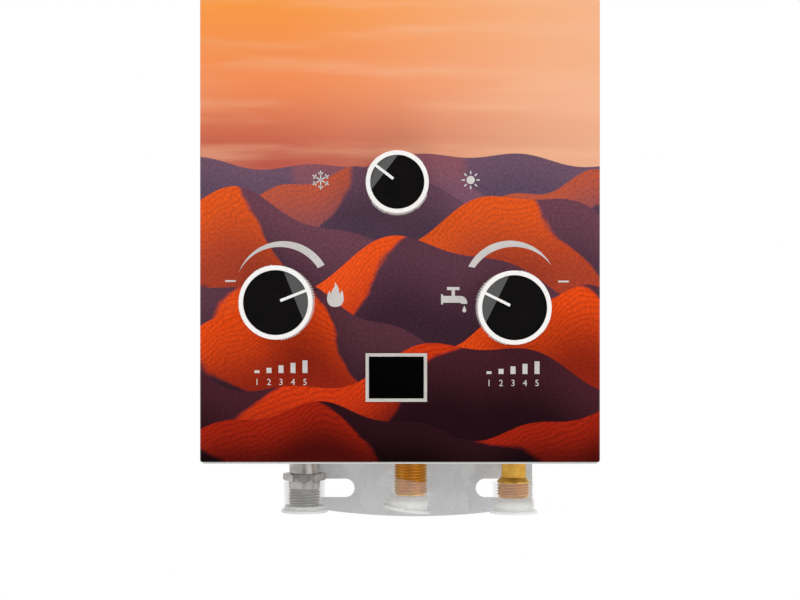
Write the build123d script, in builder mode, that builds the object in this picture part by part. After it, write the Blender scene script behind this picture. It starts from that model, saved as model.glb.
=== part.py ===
from build123d import *
import math
import os

os.makedirs("parts", exist_ok=True)

# Frame: X to the right seen from the front, the wall is the plane Y = 0, the front faces -Y,
# and Z = 0 is level with the underside of the glass front. Millimetres throughout.

# Overall sizes
panel_width = 240
panel_height = 380
casing_depth = 108
panel_overhang = 1
glass_thickness = 4
glass_corner_radius = 1.5
glass_edge_chamfer = 0.6

# Sheet thicknesses
casing_sheet = 1
back_sheet = 1.2
bottom_sheet = 1
inner_sheet = 1
bracket_sheet = 1.5

# Clearances and the overrun of cuts
running_clearance = 0.3
seat_clearance = 0.15
overrun = 2

# Back plate: lower tab with two slots, upper tab with two round holes, side returns
return_depth = 14
tab_centre_x = 10
tab_width = 154.6
tab_drop = 45.4
tab_sagitta = 7
slot_length = 30
slot_height = 12.2
slot_edge_margin = 7.3
slot_drop = 26.7
hanger_tab_width = 110
hanger_tab_rise = 25
hanger_tab_corner = 8
hanger_hole_radius = 4.5
hanger_spacing = 80
hanger_rise = 13

# Casing louvres and sheet-metal screws
louvre_count = 7
louvre_length = 44
louvre_height = 3
louvre_pitch = 8
louvre_place_share = 0.62
screw_radius = 1.75
screw_head_radius = 3.4
screw_head_height = 1.8
screw_length = 7
screw_place_shares = (0.12, 0.88)

# Flue
flue_radius = 45
flue_sheet = 0.8
flue_rise = 28
flue_insert = 7
flue_flange_width = 9
flue_flange_lip = 5
flue_flange_sheet = 1

# Display
display_x = -2.2
display_z = 50.9
bezel_width = 36.9
bezel_height = 29.1
bezel_band = 1.95
bezel_sleeve = 1
bezel_proud = 0.8
window_thickness = 1.5
window_recess = 0.5
board_margin = 4
board_thickness = 1.6
figures_margin = 4

# Knobs: places, rings, discs and the angle of each pointer from +X, seen from the front
season_x = -1.6
season_place_share = 0.24956
gas_knob_inset = 46.95
gas_knob_z = 95.9
water_knob_inset = 52.7
water_knob_z = 92.9
season_ring_radius = 18.55
season_disc_radius = 15.75
main_ring_radius = 21.8
main_disc_radius = 18.95
season_pointer_angle = 142.5
gas_pointer_angle = 21.7
water_pointer_angle = 153.6
knob_height = 24
knob_gap = 0.4
knob_wall = 2
knob_face = 3.6
knob_skirt_step = 0.1
knob_skirt_height = 18.5
knob_ring_height = 3
knob_ring_round = 0.7
disc_thickness = 1.8
disc_recess = 0.6
facet_place_share = 0.59
facet_drop = 1.3
pointer_width = 1.6
pointer_start = 3
hub_radius = 6
hub_gap = 1.2
grip_groups = 4
grip_ribs = 7
grip_pitch_angle = 4.4
grip_width = 0.9
grip_proud = 0.5
grip_start = 2

# Spindles, plugs and gland plates
spindle_radius = 3
spindle_flat = 0.8
spindle_hole_radius = 4.5
plug_radius = 8
plug_length = 20
plug_port_radius = 3.5
gland_radius = 11
gland_thickness = 2

# Gas and water valves
valve_front_space = 25
valve_back_space = 37
valve_half_height = 16
passage_radius = 3.5
passage_place_share = 0.8
gas_end = 12
gas_chamber_radius = 10
gas_chamber_length = 22
gas_chamber_wall = 10
valve_disc_radius = 8
valve_disc_thickness = 3.2
spring_radius = 6
spring_wall = 1
rod_radius = 2.5
rod_gap = 20
rod_travel = 3
rod_collar_radius = 6
rod_collar_length = 3
rod_plate_radius = 13
rod_plate_thickness = 2.2
diaphragm_radius = 24
diaphragm_thickness = 1.5
cover_thickness = 8
cover_recess_radius = 17
cover_recess_depth = 5.7
flange_thickness = 5.5
flange_recess_depth = 3.5
water_block_left = 14.3
water_block_right = 25
water_outlet_offset = 15
solenoid_radius = 14
solenoid_height = 36
plunger_radius = 4
plunger_length = 30
plunger_travel = 3
plunger_disc_radius = 7
plunger_disc_thickness = 3
solenoid_pocket_radius = 11
solenoid_pocket_height = 10

# Micro-switch in the gap between the valves
switch_thickness = 5
switch_length = 20
switch_height = 10
switch_rise = 4
lever_thickness = 0.6
lever_width = 6
lever_length = 14.4
lever_barrel_radius = 1.2
lever_pin_radius = 0.5
switch_ear = 2
switch_button_radius = 1
switch_button_height = 2

# Section valve, gas riser and manifold
season_half = 14
season_half_width = 16
season_front_space = 5
season_depth = 38
season_boss_radius = 5
season_boss_height = 5
riser_radius = 6
riser_bore = 4.5
riser_bend = 10
manifold_height = 12
manifold_depth = 11
manifold_wall = 1.5
injector_radius = 3
injector_bore = 0.8

# Burner, combustion chamber, exchanger and hood
chamber_side_space = 32
chamber_front_space = 22
chamber_back_space = 19.8
chamber_height_share = 0.52
burner_height = 36
burner_below_axis = 9
blade_count = 9
venturi_radius = 6
blade_neck = 3
blade_head_width = 9
blade_head_height = 8
blade_top_gap = 4
venturi_wall = 1.5
port_count = 10
port_width = 1.6
port_depth = 3
tube_radius = 5
tube_wall = 0.8
tube_passes = 5
tube_drop_share = 0.238
tube_end = 6
bend_gap = 1
bend_share = 0.49
fin_count = 27
fin_thickness = 0.5
fin_half_height_share = 0.167
coil_radius = 5.5
coil_wall = 0.8
coil_stand_off = 2.5
coil_bend = 12
coil_start_share = 0.262
coil_step_share = 0.0775
coil_return_space = 14
feed_low_run = 23
feed_jog = 30
hood_margin = 0.6
hood_neck_height = 6
hood_gap = 1
chamber_bracket_width = 20
chamber_bracket_height = 10
chamber_bracket_place_share = 0.7
valve_bracket_width = 24
electrode_radius = 3
electrode_length = 14
electrode_wire_radius = 0.8
electrode_reach = 13
electrode_rise = 9
electrode_spacing = 60
thermostat_radius = 7
thermostat_height = 4.5
thermostat_place_share = 0.3
thermostat_rise_share = 0.476

# Connections: G1/2 threads, and their caps
thread_radius = 10.4775
thread_pitch = 1.814
thread_depth = 1.16
fitting_top = 24
fitting_port_radius = 4.5
hot_outlet_offset = 11.4
hot_outlet_y = -28
hot_bore = 7
hot_bore_top = 20
hot_sleeve_radius = 9.8
hot_sleeve_drop = 13.4
hot_neck_radius = 10.2
hot_hex_flats = 24
hot_hex_top = 14.3
hot_hex_drop = 18.8
hot_thread_top = 24
hot_thread_drop = 35.6
gas_inlet_offset = 11.35
gas_inlet_y = -62
gas_bore = 7
gas_tail_radius = 9
gas_thread_rise = 12
gas_thread_drop = 24.9
cold_inlet_offset = 4.6
cold_inlet_y = -50
cold_bore = 5.5
cold_hex_flats = 15
cold_hex_drop = 14.8
cold_hex_top = 10
cold_tail_radius = 8
cold_neck_radius = 8.6
cold_thread_top = 17.6
cold_thread_drop = 27.7
cap_height = 19.5
cap_mouth_radius = 13.5
cap_taper = 0.5
cap_wall = 1.1
cap_bead_gap = 0.32
cap_bead_thickness = 1.2
cap_flange_radius = 15
cap_flange_thickness = 1.6
hot_cap_drop = 19.8
gas_cap_drop = 14.9
cold_cap_drop = 17.8
gas_cap_tilt = 8.5

# Hot pipe
hot_pipe_radius = 6
hot_pipe_wall = 0.8
hot_pipe_bend = 12
hot_pipe_offset = 21
hot_pipe_turn_rise = 38
hot_pipe_turn_drop = 20

# Battery box, lid and cells
cell_radius = 16.6
cell_length = 61.5
cell_button_radius = 4.75
cell_button_height = 1.5
cell_clearance = 0.4
battery_wall = 1.5
battery_flange = 2
lid_thickness = 1.5
lid_barrel_radius = 1.5
lid_pin_radius = 0.9
lid_pin_length = 1
flange_reach = 3
contact_sheet = 0.6
contact_spring_height = 2.2
contact_spring_radius = 7
contact_spring_tip = 4
contact_width = 16

# Control box and ignition lead
control_width = 28
control_depth = 62
control_height = 60
control_side_gap = 1
control_round = 2
lead_radius = 1.5
lead_bend = 12
lead_end_bend = 4
lead_from_side = 12
lead_rise_share = 0.9
lead_front_space = 5.5

# Places worked out from the sizes above
casing_half = panel_width / 2 - panel_overhang
casing_bottom = panel_overhang
casing_top = panel_height - panel_overhang
season_z = gas_knob_z + season_place_share * (panel_height - gas_knob_z)
casing_inner = casing_half - casing_sheet
front_y = -casing_depth
inner_front_y = front_y + casing_sheet
glass_y = front_y - glass_thickness
back_y = -back_sheet
floor_z = casing_bottom + bottom_sheet

gas_knob_x = gas_knob_inset - panel_width / 2
water_knob_x = panel_width / 2 - water_knob_inset
valve_front_y = inner_front_y + valve_front_space
valve_back_y = back_y - valve_back_space
valve_mid_y = (valve_front_y + valve_back_y) / 2
valve_bottom = min(gas_knob_z, water_knob_z) - valve_half_height
valve_top = max(gas_knob_z, water_knob_z) + valve_half_height
rod_z = water_knob_z

water_left = water_knob_x - water_block_left
water_right = water_knob_x + water_block_right
diaphragm_right = water_left - flange_thickness
diaphragm_left = diaphragm_right - diaphragm_thickness
cover_left = diaphragm_left - cover_thickness
gas_right = cover_left - rod_gap
gas_left = gas_knob_x - gas_end
chamber_right = gas_right - gas_chamber_wall
chamber_left = chamber_right - gas_chamber_length
passage_y = valve_front_y + passage_place_share * plug_length
solenoid_x = (gas_knob_x + plug_radius + chamber_left) / 2
solenoid_bottom = valve_bottom - solenoid_height
hot_x = gas_knob_x + hot_outlet_offset
gas_inlet_x = gas_right - gas_inlet_offset
cold_x = water_knob_x + cold_inlet_offset

season_front_y = inner_front_y + season_front_space
season_back_y = season_front_y + season_depth
riser_y = (valve_front_y + season_back_y) / 2
manifold_y = season_front_y + manifold_depth
manifold_bottom = season_z + season_half + season_boss_height
burner_axis = manifold_bottom + manifold_height / 2
burner_bottom = burner_axis - burner_below_axis
chamber_bottom = burner_bottom + burner_height
chamber_height = chamber_height_share * (casing_top - chamber_bottom)
chamber_top = chamber_bottom + chamber_height
furnace_half = casing_inner - chamber_side_space
furnace_front = inner_front_y + chamber_front_space
furnace_back = back_y - chamber_back_space
furnace_depth = furnace_back - furnace_front
furnace_mid = (furnace_front + furnace_back) / 2
tube_z = chamber_top - tube_drop_share * chamber_height
fin_half_height = fin_half_height_share * chamber_height
tube_pitch = (furnace_depth - 2 * inner_sheet) / tube_passes
first_tube_y = furnace_front + inner_sheet + tube_pitch / 2
last_tube_y = first_tube_y + (tube_passes - 1) * tube_pitch
tube_reach = furnace_half + tube_end
flue_y = (inner_front_y + back_y) / 2

front = Vector(0, -1, 0)


def along_x(y, z):
    return Plane(origin=(0, y, z), x_dir=(0, 1, 0), z_dir=(1, 0, 0))


def along_y(x, z):
    return Plane(origin=(x, 0, z), x_dir=(1, 0, 0), z_dir=(0, 1, 0))


def along_z(x, y):
    return Plane(origin=(x, y, 0))


# A round post on a plane, from one height above it to another
def post(plane, start, end, radius, mode=Mode.ADD):
    with BuildSketch(plane.offset(start)) as section:
        Circle(radius)
    extrude(section.sketch, amount=end - start, mode=mode)


# A round hole along a plane's normal, from one height above it to another
def drill(plane, start, end, radius):
    post(plane, start, end, radius, mode=Mode.SUBTRACT)


# A box given by its limits in X, Y and Z
def block(x_limits, y_limits, z_limits, mode=Mode.ADD):
    sizes = [high - low for low, high in (x_limits, y_limits, z_limits)]
    middle = [(low + high) / 2 for low, high in (x_limits, y_limits, z_limits)]
    with Locations(tuple(middle)):
        Box(*sizes, mode=mode)


# A tube along straight runs joined by arcs
def tube(points, bends, outer, wall):
    with BuildLine() as route:
        FilletPolyline(*points, radius=bends)
    start = Plane(origin=route.line @ 0, z_dir=route.line % 0)
    with BuildSketch(start) as section:
        Circle(outer)
        if wall:
            Circle(outer - wall, mode=Mode.SUBTRACT)
    sweep(section.sketch, path=route.line)


# A ring-shaped body on an upright axis, from its outline of radii and heights
def turned(x, y, outline):
    with BuildSketch(Plane(origin=(x, y, 0), x_dir=(1, 0, 0), z_dir=(0, -1, 0))) as section:
        with BuildLine():
            Polyline(*outline, close=True)
        make_face()
    revolve(section.sketch, axis=Axis((x, y, 0), (0, 0, 1)))


# The outline of a thread from its lower end up, as rings at the thread's pitch
def thread_outline(low, high):
    turns = int((high - low) / thread_pitch)
    points = [(thread_radius - thread_depth, low)]
    for turn in range(turns):
        points.append((thread_radius, low + (turn + 0.5) * thread_pitch))
        points.append((thread_radius - thread_depth, low + (turn + 1) * thread_pitch))
    points.append((thread_radius - thread_depth, high))
    return points


def save(builder, name):
    builder.part.label = name
    export_step(builder.part, f"parts/{name}.step")


# Back plate with its tabs, slots, hanging holes and side returns
tab_left = tab_centre_x - tab_width / 2
slot_spacing = tab_width - slot_length - 2 * slot_edge_margin
tab_right = tab_centre_x + tab_width / 2
return_x = casing_inner - running_clearance
return_mid_y = back_y - return_depth / 2
screw_heights = [share * panel_height for share in screw_place_shares]
with BuildPart() as back_plate:
    with BuildSketch(Plane.XZ):
        with Locations((0, (casing_bottom + casing_top) / 2)):
            Rectangle(2 * casing_half, casing_top - casing_bottom)
        with BuildLine():
            Polyline(
                (tab_left, tab_sagitta - tab_drop),
                (tab_left, casing_bottom),
                (tab_right, casing_bottom),
                (tab_right, tab_sagitta - tab_drop),
            )
            ThreePointArc(
                (tab_left, tab_sagitta - tab_drop),
                (tab_centre_x, -tab_drop),
                (tab_right, tab_sagitta - tab_drop),
            )
        make_face()
        with Locations((0, casing_top)):
            RectangleRounded(hanger_tab_width, 2 * hanger_tab_rise, hanger_tab_corner)
        with Locations((tab_centre_x, -slot_drop)):
            with GridLocations(slot_spacing, 0, 2, 1):
                SlotOverall(slot_length, slot_height, mode=Mode.SUBTRACT)
        with Locations((0, casing_top + hanger_rise)):
            with GridLocations(hanger_spacing, 0, 2, 1):
                Circle(hanger_hole_radius, mode=Mode.SUBTRACT)
    extrude(amount=back_sheet)
    for side in (-1, 1):
        edges = sorted((side * return_x, side * (return_x - back_sheet)))
        block(edges, (back_y - return_depth, back_y),
              (floor_z + running_clearance, casing_top - casing_sheet - running_clearance))
        for height in screw_heights:
            start = -return_x - overrun if side < 0 else return_x - back_sheet - overrun
            drill(along_x(return_mid_y, height), start, start + back_sheet + 2 * overrun,
                  screw_radius + seat_clearance)
save(back_plate, "back_plate")

# Casing, open at the back and underneath
screw_circle = (flue_radius + flue_flange_width / 2) * math.sqrt(0.5)
collar_screw_places = [(x * screw_circle, flue_y + y * screw_circle) for x in (-1, 1) for y in (-1, 1)]
with BuildPart() as casing:
    block((-casing_half, casing_half), (front_y, back_y), (casing_bottom, casing_top))
    block((-casing_inner, casing_inner), (inner_front_y, back_y + overrun),
          (casing_bottom - overrun, casing_top - casing_sheet), mode=Mode.SUBTRACT)
    drill(along_z(0, flue_y), casing_top - casing_sheet - overrun, casing_top + overrun,
          flue_radius + running_clearance)
    for x, z in ((season_x, season_z), (gas_knob_x, gas_knob_z), (water_knob_x, water_knob_z)):
        drill(along_y(x, z), front_y - overrun, inner_front_y + overrun, spindle_hole_radius)
    with BuildSketch(Plane.XZ.offset(-inner_front_y - overrun)):
        with Locations((display_x, display_z)):
            Rectangle(bezel_width - 2 * bezel_sleeve + 2 * running_clearance,
                      bezel_height - 2 * bezel_sleeve + 2 * running_clearance)
    extrude(amount=casing_sheet + 2 * overrun, mode=Mode.SUBTRACT)
    for side in (-1, 1):
        for number in range(louvre_count):
            middle_z = louvre_place_share * panel_height + (number - (louvre_count - 1) / 2) * louvre_pitch
            limits = sorted((side * (casing_inner - overrun), side * (casing_half + overrun)))
            block(limits, (flue_y - louvre_length / 2, flue_y + louvre_length / 2),
                  (middle_z - louvre_height / 2, middle_z + louvre_height / 2), mode=Mode.SUBTRACT)
        for height in screw_heights:
            start = -casing_half - overrun if side < 0 else casing_inner - overrun
            drill(along_x(return_mid_y, height), start, start + casing_sheet + 2 * overrun,
                  screw_radius + seat_clearance)
    for x, y in collar_screw_places:
        drill(along_z(x, y), casing_top - casing_sheet - overrun, casing_top + overrun,
              screw_radius + seat_clearance)
save(casing, "casing")

# Bottom plate, let in between the casing walls, with openings for the connections and the battery box
battery_left = -casing_inner + running_clearance
battery_right = battery_left + 2 * (cell_radius + cell_clearance + battery_wall)
battery_back = back_y - return_depth - running_clearance
battery_front = battery_back - 4 * cell_radius - 3 * cell_clearance - 2 * battery_wall
cold_hex_corner = cold_hex_flats / math.sqrt(3)
with BuildPart() as bottom_plate:
    block((-casing_inner + running_clearance, casing_inner - running_clearance),
          (inner_front_y + running_clearance, back_y), (casing_bottom, floor_z))
    block((-casing_half, battery_right + running_clearance),
          (battery_front - running_clearance, battery_back + running_clearance),
          (casing_bottom - overrun, floor_z + overrun), mode=Mode.SUBTRACT)
    holes = ((hot_x, hot_outlet_y, hot_sleeve_radius), (gas_inlet_x, gas_inlet_y, thread_radius),
             (cold_x, cold_inlet_y, cold_hex_corner))
    for x, y, radius in holes:
        drill(along_z(x, y), casing_bottom - overrun, floor_z + overrun, radius + running_clearance)
save(bottom_plate, "bottom_plate")

# Pan-head screws: two in each side of the casing, four in the flue collar's flange
with BuildPart() as sheet_screws:
    for height in screw_heights:
        right = along_x(return_mid_y, height)
        post(right, casing_half, casing_half + screw_head_height, screw_head_radius)
        post(right, casing_half - screw_length, casing_half, screw_radius)
        post(right, -casing_half - screw_head_height, -casing_half, screw_head_radius)
        post(right, -casing_half, screw_length - casing_half, screw_radius)
    for x, y in collar_screw_places:
        flange_top = casing_top + flue_flange_sheet
        post(along_z(x, y), flange_top, flange_top + screw_head_height, screw_head_radius)
        post(along_z(x, y), flange_top - screw_length, flange_top, screw_radius)
save(sheet_screws, "sheet_screws")

# Flue collar: a spigot with a flange that lies on the casing's top
with BuildPart() as flue_collar:
    upright = along_z(0, flue_y)
    post(upright, casing_top - flue_insert, casing_top + flue_flange_sheet + flue_rise, flue_radius)
    with BuildSketch(upright.offset(casing_top)):
        Circle(flue_radius + flue_flange_width)
        Rectangle(2 * (flue_radius + flue_flange_width), 2 * (flue_radius + flue_flange_lip),
                  mode=Mode.INTERSECT)
    extrude(amount=flue_flange_sheet)
    drill(upright, casing_top - flue_insert - overrun,
          casing_top + flue_rise + flue_flange_sheet + overrun, flue_radius - flue_sheet)
    for x, y in collar_screw_places:
        drill(along_z(x, y), casing_top - overrun, casing_top + flue_flange_sheet + overrun,
              screw_radius + seat_clearance)
save(flue_collar, "flue_collar")

# Glass front, glued to the casing
bezel_inner_width = bezel_width - 2 * bezel_band
bezel_inner_height = bezel_height - 2 * bezel_band
sleeve_width = bezel_width - 2 * bezel_sleeve
sleeve_height = bezel_height - 2 * bezel_sleeve
front_face = Plane(origin=(0, front_y, 0), x_dir=(1, 0, 0), z_dir=(0, -1, 0))
with BuildPart() as glass_panel:
    with BuildSketch(front_face):
        with Locations((0, panel_height / 2)):
            RectangleRounded(panel_width, panel_height, glass_corner_radius)
    extrude(amount=glass_thickness)
    chamfer(glass_panel.faces().sort_by(Axis.Y)[0].edges(), glass_edge_chamfer)
    with BuildSketch(front_face.offset(-overrun)):
        with Locations((display_x, display_z)):
            Rectangle(sleeve_width + 2 * running_clearance, sleeve_height + 2 * running_clearance)
        with Locations((season_x, season_z), (gas_knob_x, gas_knob_z), (water_knob_x, water_knob_z)):
            Circle(spindle_hole_radius)
    extrude(amount=glass_thickness + 2 * overrun, mode=Mode.SUBTRACT)
save(glass_panel, "glass_panel")

# Display: frame, window, figure module and circuit board
display_face = Plane(origin=(display_x, glass_y, display_z), x_dir=(1, 0, 0), z_dir=(0, -1, 0))
sleeve_end = -(glass_thickness + casing_sheet + seat_clearance)
with BuildPart() as display_bezel:
    with BuildSketch(display_face):
        Rectangle(bezel_width, bezel_height)
    extrude(amount=bezel_proud)
    with BuildSketch(display_face):
        Rectangle(sleeve_width, sleeve_height)
    extrude(amount=sleeve_end)
    with BuildSketch(display_face.offset(bezel_proud + overrun)):
        Rectangle(bezel_inner_width, bezel_inner_height)
    extrude(amount=sleeve_end - bezel_proud - 2 * overrun, mode=Mode.SUBTRACT)
save(display_bezel, "display_bezel")

window_back = bezel_proud - window_recess - window_thickness
with BuildPart() as display_window:
    with BuildSketch(display_face.offset(window_back)):
        Rectangle(bezel_inner_width - 2 * seat_clearance, bezel_inner_height - 2 * seat_clearance)
    extrude(amount=window_thickness)
save(display_window, "display_window")

with BuildPart() as led_display:
    with BuildSketch(display_face.offset(sleeve_end)):
        Rectangle(bezel_inner_width - figures_margin, bezel_inner_height - figures_margin)
    extrude(amount=window_back - seat_clearance - sleeve_end)
save(led_display, "led_display")

with BuildPart() as display_board:
    with BuildSketch(display_face.offset(sleeve_end)):
        Rectangle(bezel_width + board_margin, bezel_height + board_margin)
    extrude(amount=-board_thickness)
save(display_board, "display_board")


# The front of a knob, with the pointer's direction as its own X axis
def knob_plane(x, z, pointer_angle):
    turn = math.radians(pointer_angle)
    return Plane(origin=(x, glass_y, z), x_dir=(math.cos(turn), 0, math.sin(turn)), z_dir=(0, -1, 0))


# The D-shaped section of a spindle's end, grown by a clearance
def flatted_section(plane, height, clearance):
    with BuildSketch(plane.offset(height)) as section:
        Circle(spindle_radius + clearance)
        with Locations((2 * spindle_radius - spindle_flat + clearance, 0)):
            Rectangle(2 * spindle_radius, 4 * spindle_radius, mode=Mode.SUBTRACT)
    return section.sketch


knob_floor = knob_height - disc_recess - disc_thickness
hollow_top = knob_floor - knob_face


# A knob's white body: skirt with grip ribs, ring, hub and the pointer rib in the disc's pocket
def make_knob(name, plane, ring_radius, disc_radius):
    skirt_radius = ring_radius + knob_skirt_step
    with BuildPart() as knob:
        post(plane, knob_gap, knob_skirt_height, skirt_radius)
        with BuildSketch(plane.offset(knob_skirt_height)):
            Circle(skirt_radius)
        with BuildSketch(plane.offset(knob_height - knob_ring_height)):
            Circle(ring_radius)
        loft()
        post(plane, knob_height - knob_ring_height, knob_height, ring_radius)
        fillet(knob.faces().sort_by(Axis.Y)[0].edges(), knob_ring_round)
        step = grip_pitch_angle
        for group in range(grip_groups):
            first = group * 360 / grip_groups - step * (grip_ribs - 1) / 2
            with BuildSketch(plane.offset(grip_start)):
                with PolarLocations(skirt_radius, grip_ribs, first, step * grip_ribs):
                    Rectangle(2 * grip_proud, grip_width)
            extrude(amount=knob_skirt_height - grip_start)
        drill(plane, knob_floor, knob_height + overrun, disc_radius + seat_clearance)
        drill(plane, knob_gap - overrun, hollow_top, skirt_radius - knob_wall)
        post(plane, hub_gap, hollow_top, hub_radius)
        bore = flatted_section(plane, hub_gap - overrun, seat_clearance)
        extrude(bore, amount=hollow_top - hub_gap + overrun, mode=Mode.SUBTRACT)
        with BuildSketch(plane.offset(knob_floor)):
            with Locations(((pointer_start + disc_radius + knob_ring_round) / 2, 0)):
                Rectangle(disc_radius + knob_ring_round - pointer_start, pointer_width)
        extrude(amount=knob_height - knob_floor)
    save(knob, name)


# The black disc let into a knob, with the slot for the pointer rib and the sloping facet
def make_disc(name, plane, disc_radius):
    radial = plane.x_dir
    side_plane = Plane(origin=plane.origin, x_dir=radial, z_dir=radial.cross(front))
    disc_top = knob_floor + disc_thickness
    facet_start = facet_place_share * disc_radius
    with BuildPart() as disc:
        post(plane, knob_floor, disc_top, disc_radius)
        with BuildSketch(side_plane.offset(-disc_radius)):
            with BuildLine():
                Polyline(
                    (facet_start, disc_top),
                    (disc_radius, disc_top - facet_drop),
                    (disc_radius + overrun, disc_top - facet_drop),
                    (disc_radius + overrun, disc_top + overrun),
                    (facet_start, disc_top + overrun),
                    close=True,
                )
            make_face()
        extrude(amount=2 * disc_radius, mode=Mode.SUBTRACT)
        slot_start = pointer_start - seat_clearance
        with BuildSketch(plane.offset(knob_floor - overrun)):
            with Locations(((slot_start + disc_radius + overrun) / 2, 0)):
                Rectangle(disc_radius + overrun - slot_start, pointer_width + 2 * seat_clearance)
        extrude(amount=disc_thickness + 2 * overrun, mode=Mode.SUBTRACT)
    save(disc, name)


# A spindle with its flatted end in the knob's hub and its ported plug in the valve
def make_spindle(name, plane, x, z, valve_y):
    plug_start = glass_y - valve_y - seat_clearance
    plug_end = plug_start - plug_length
    with BuildPart() as spindle:
        post(plane, plug_start, hub_gap, spindle_radius)
        extrude(flatted_section(plane, hub_gap, 0), amount=hollow_top - hub_gap - seat_clearance)
        post(plane, plug_end, plug_start, plug_radius)
        port_y = valve_y + passage_place_share * plug_length
        drill(along_x(port_y, z), x - plug_radius - overrun, x + plug_radius + overrun, plug_port_radius)
    save(spindle, name)


controls = (
    ("season", season_x, season_z, season_pointer_angle, season_ring_radius, season_disc_radius,
     season_front_y),
    ("gas", gas_knob_x, gas_knob_z, gas_pointer_angle, main_ring_radius, main_disc_radius, valve_front_y),
    ("water", water_knob_x, water_knob_z, water_pointer_angle, main_ring_radius, main_disc_radius,
     valve_front_y),
)
for name, x, z, angle, ring_radius, disc_radius, valve_y in controls:
    plane = knob_plane(x, z, angle)
    make_knob(f"{name}_knob", plane, ring_radius, disc_radius)
    make_disc(f"{name}_knob_disc", plane, disc_radius)
    make_spindle(f"{name}_spindle", plane, x, z, valve_y)

# Gland plates that close the three plug bores
with BuildPart() as gland_plates:
    for name, x, z, angle, ring_radius, disc_radius, valve_y in controls:
        post(along_y(x, z), valve_y - gland_thickness, valve_y, gland_radius)
        drill(along_y(x, z), valve_y - gland_thickness - overrun, valve_y + overrun,
              spindle_radius + seat_clearance)
save(gland_plates, "gland_plates")

# Gas valve body: plug bore on the left, solenoid pocket below, disc chamber on the right
gas_span = (gas_left, gas_right)
valve_depth_limits = (valve_front_y, valve_back_y)
valve_height_limits = (valve_bottom, valve_top)
with BuildPart() as gas_valve_body:
    block(gas_span, valve_depth_limits, valve_height_limits)
    drill(along_y(gas_knob_x, gas_knob_z), valve_front_y - overrun,
          valve_front_y + plug_length + running_clearance, plug_radius + seat_clearance)
    rod_line = along_x(valve_mid_y, rod_z)
    drill(rod_line, chamber_left, chamber_right, gas_chamber_radius)
    drill(rod_line, chamber_right - overrun, gas_right + overrun, rod_radius + running_clearance)
    drill(along_x(passage_y, rod_z), gas_knob_x, chamber_left + overrun, passage_radius)
    solenoid_line = along_z(solenoid_x, valve_mid_y)
    pocket_top = valve_bottom + solenoid_pocket_height
    drill(solenoid_line, valve_bottom - overrun, pocket_top, solenoid_pocket_radius)
    drill(solenoid_line, pocket_top - overrun, rod_z, passage_radius)
    drill(along_z(gas_inlet_x, gas_inlet_y), valve_bottom - overrun, rod_z - rod_radius - overrun,
          fitting_port_radius)
    drill(along_z(gas_knob_x, riser_y), gas_knob_z, valve_top + overrun, riser_bore)
save(gas_valve_body, "gas_valve_body")

# Solenoid under the gas valve, and its plunger with the sealing disc
plunger_top = pocket_top - running_clearance
plunger_bottom = plunger_top - plunger_length
with BuildPart() as solenoid_coil:
    post(solenoid_line, solenoid_bottom, valve_bottom, solenoid_radius)
    drill(solenoid_line, plunger_bottom - plunger_travel - running_clearance, valve_bottom + overrun,
          plunger_radius + running_clearance)
save(solenoid_coil, "solenoid_coil")

with BuildPart() as solenoid_plunger:
    post(solenoid_line, plunger_bottom, plunger_top, plunger_radius)
    post(solenoid_line, plunger_top - plunger_disc_thickness, plunger_top, plunger_disc_radius)
save(solenoid_plunger, "solenoid_plunger")

# Valve disc on its seat, and the spring behind it
disc_face = chamber_right - running_clearance
with BuildPart() as gas_valve_disc:
    post(rod_line, disc_face - valve_disc_thickness, disc_face, valve_disc_radius)
save(gas_valve_disc, "gas_valve_disc")

spring_end = disc_face - valve_disc_thickness - rod_travel - running_clearance
with BuildPart() as gas_valve_spring:
    post(rod_line, chamber_left, spring_end, spring_radius)
    drill(rod_line, chamber_left - overrun, spring_end + overrun, spring_radius - spring_wall)
save(gas_valve_spring, "gas_valve_spring")

# Water valve: body with flange, diaphragm, cover
with BuildPart() as water_valve_body:
    block((water_left, water_right), valve_depth_limits, valve_height_limits)
    post(rod_line, diaphragm_right, water_left, diaphragm_radius)
    drill(rod_line, diaphragm_right - overrun, diaphragm_right + flange_recess_depth, cover_recess_radius)
    drill(along_y(water_knob_x, water_knob_z), valve_front_y - overrun,
          valve_front_y + plug_length + running_clearance, plug_radius + seat_clearance)
    drill(along_z(cold_x, cold_inlet_y), valve_bottom - overrun, rod_z, fitting_port_radius)
    drill(along_z(water_knob_x + water_outlet_offset, furnace_mid), rod_z, valve_top + overrun,
          coil_radius - coil_wall)
save(water_valve_body, "water_valve_body")

with BuildPart() as diaphragm:
    post(rod_line, diaphragm_left, diaphragm_right, diaphragm_radius)
save(diaphragm, "diaphragm")

with BuildPart() as water_valve_cover:
    post(rod_line, cover_left, diaphragm_left, diaphragm_radius)
    drill(rod_line, diaphragm_left - cover_recess_depth, diaphragm_left + overrun, cover_recess_radius)
    drill(rod_line, cover_left - overrun, diaphragm_left, rod_radius + running_clearance)
save(water_valve_cover, "water_valve_cover")

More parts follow.
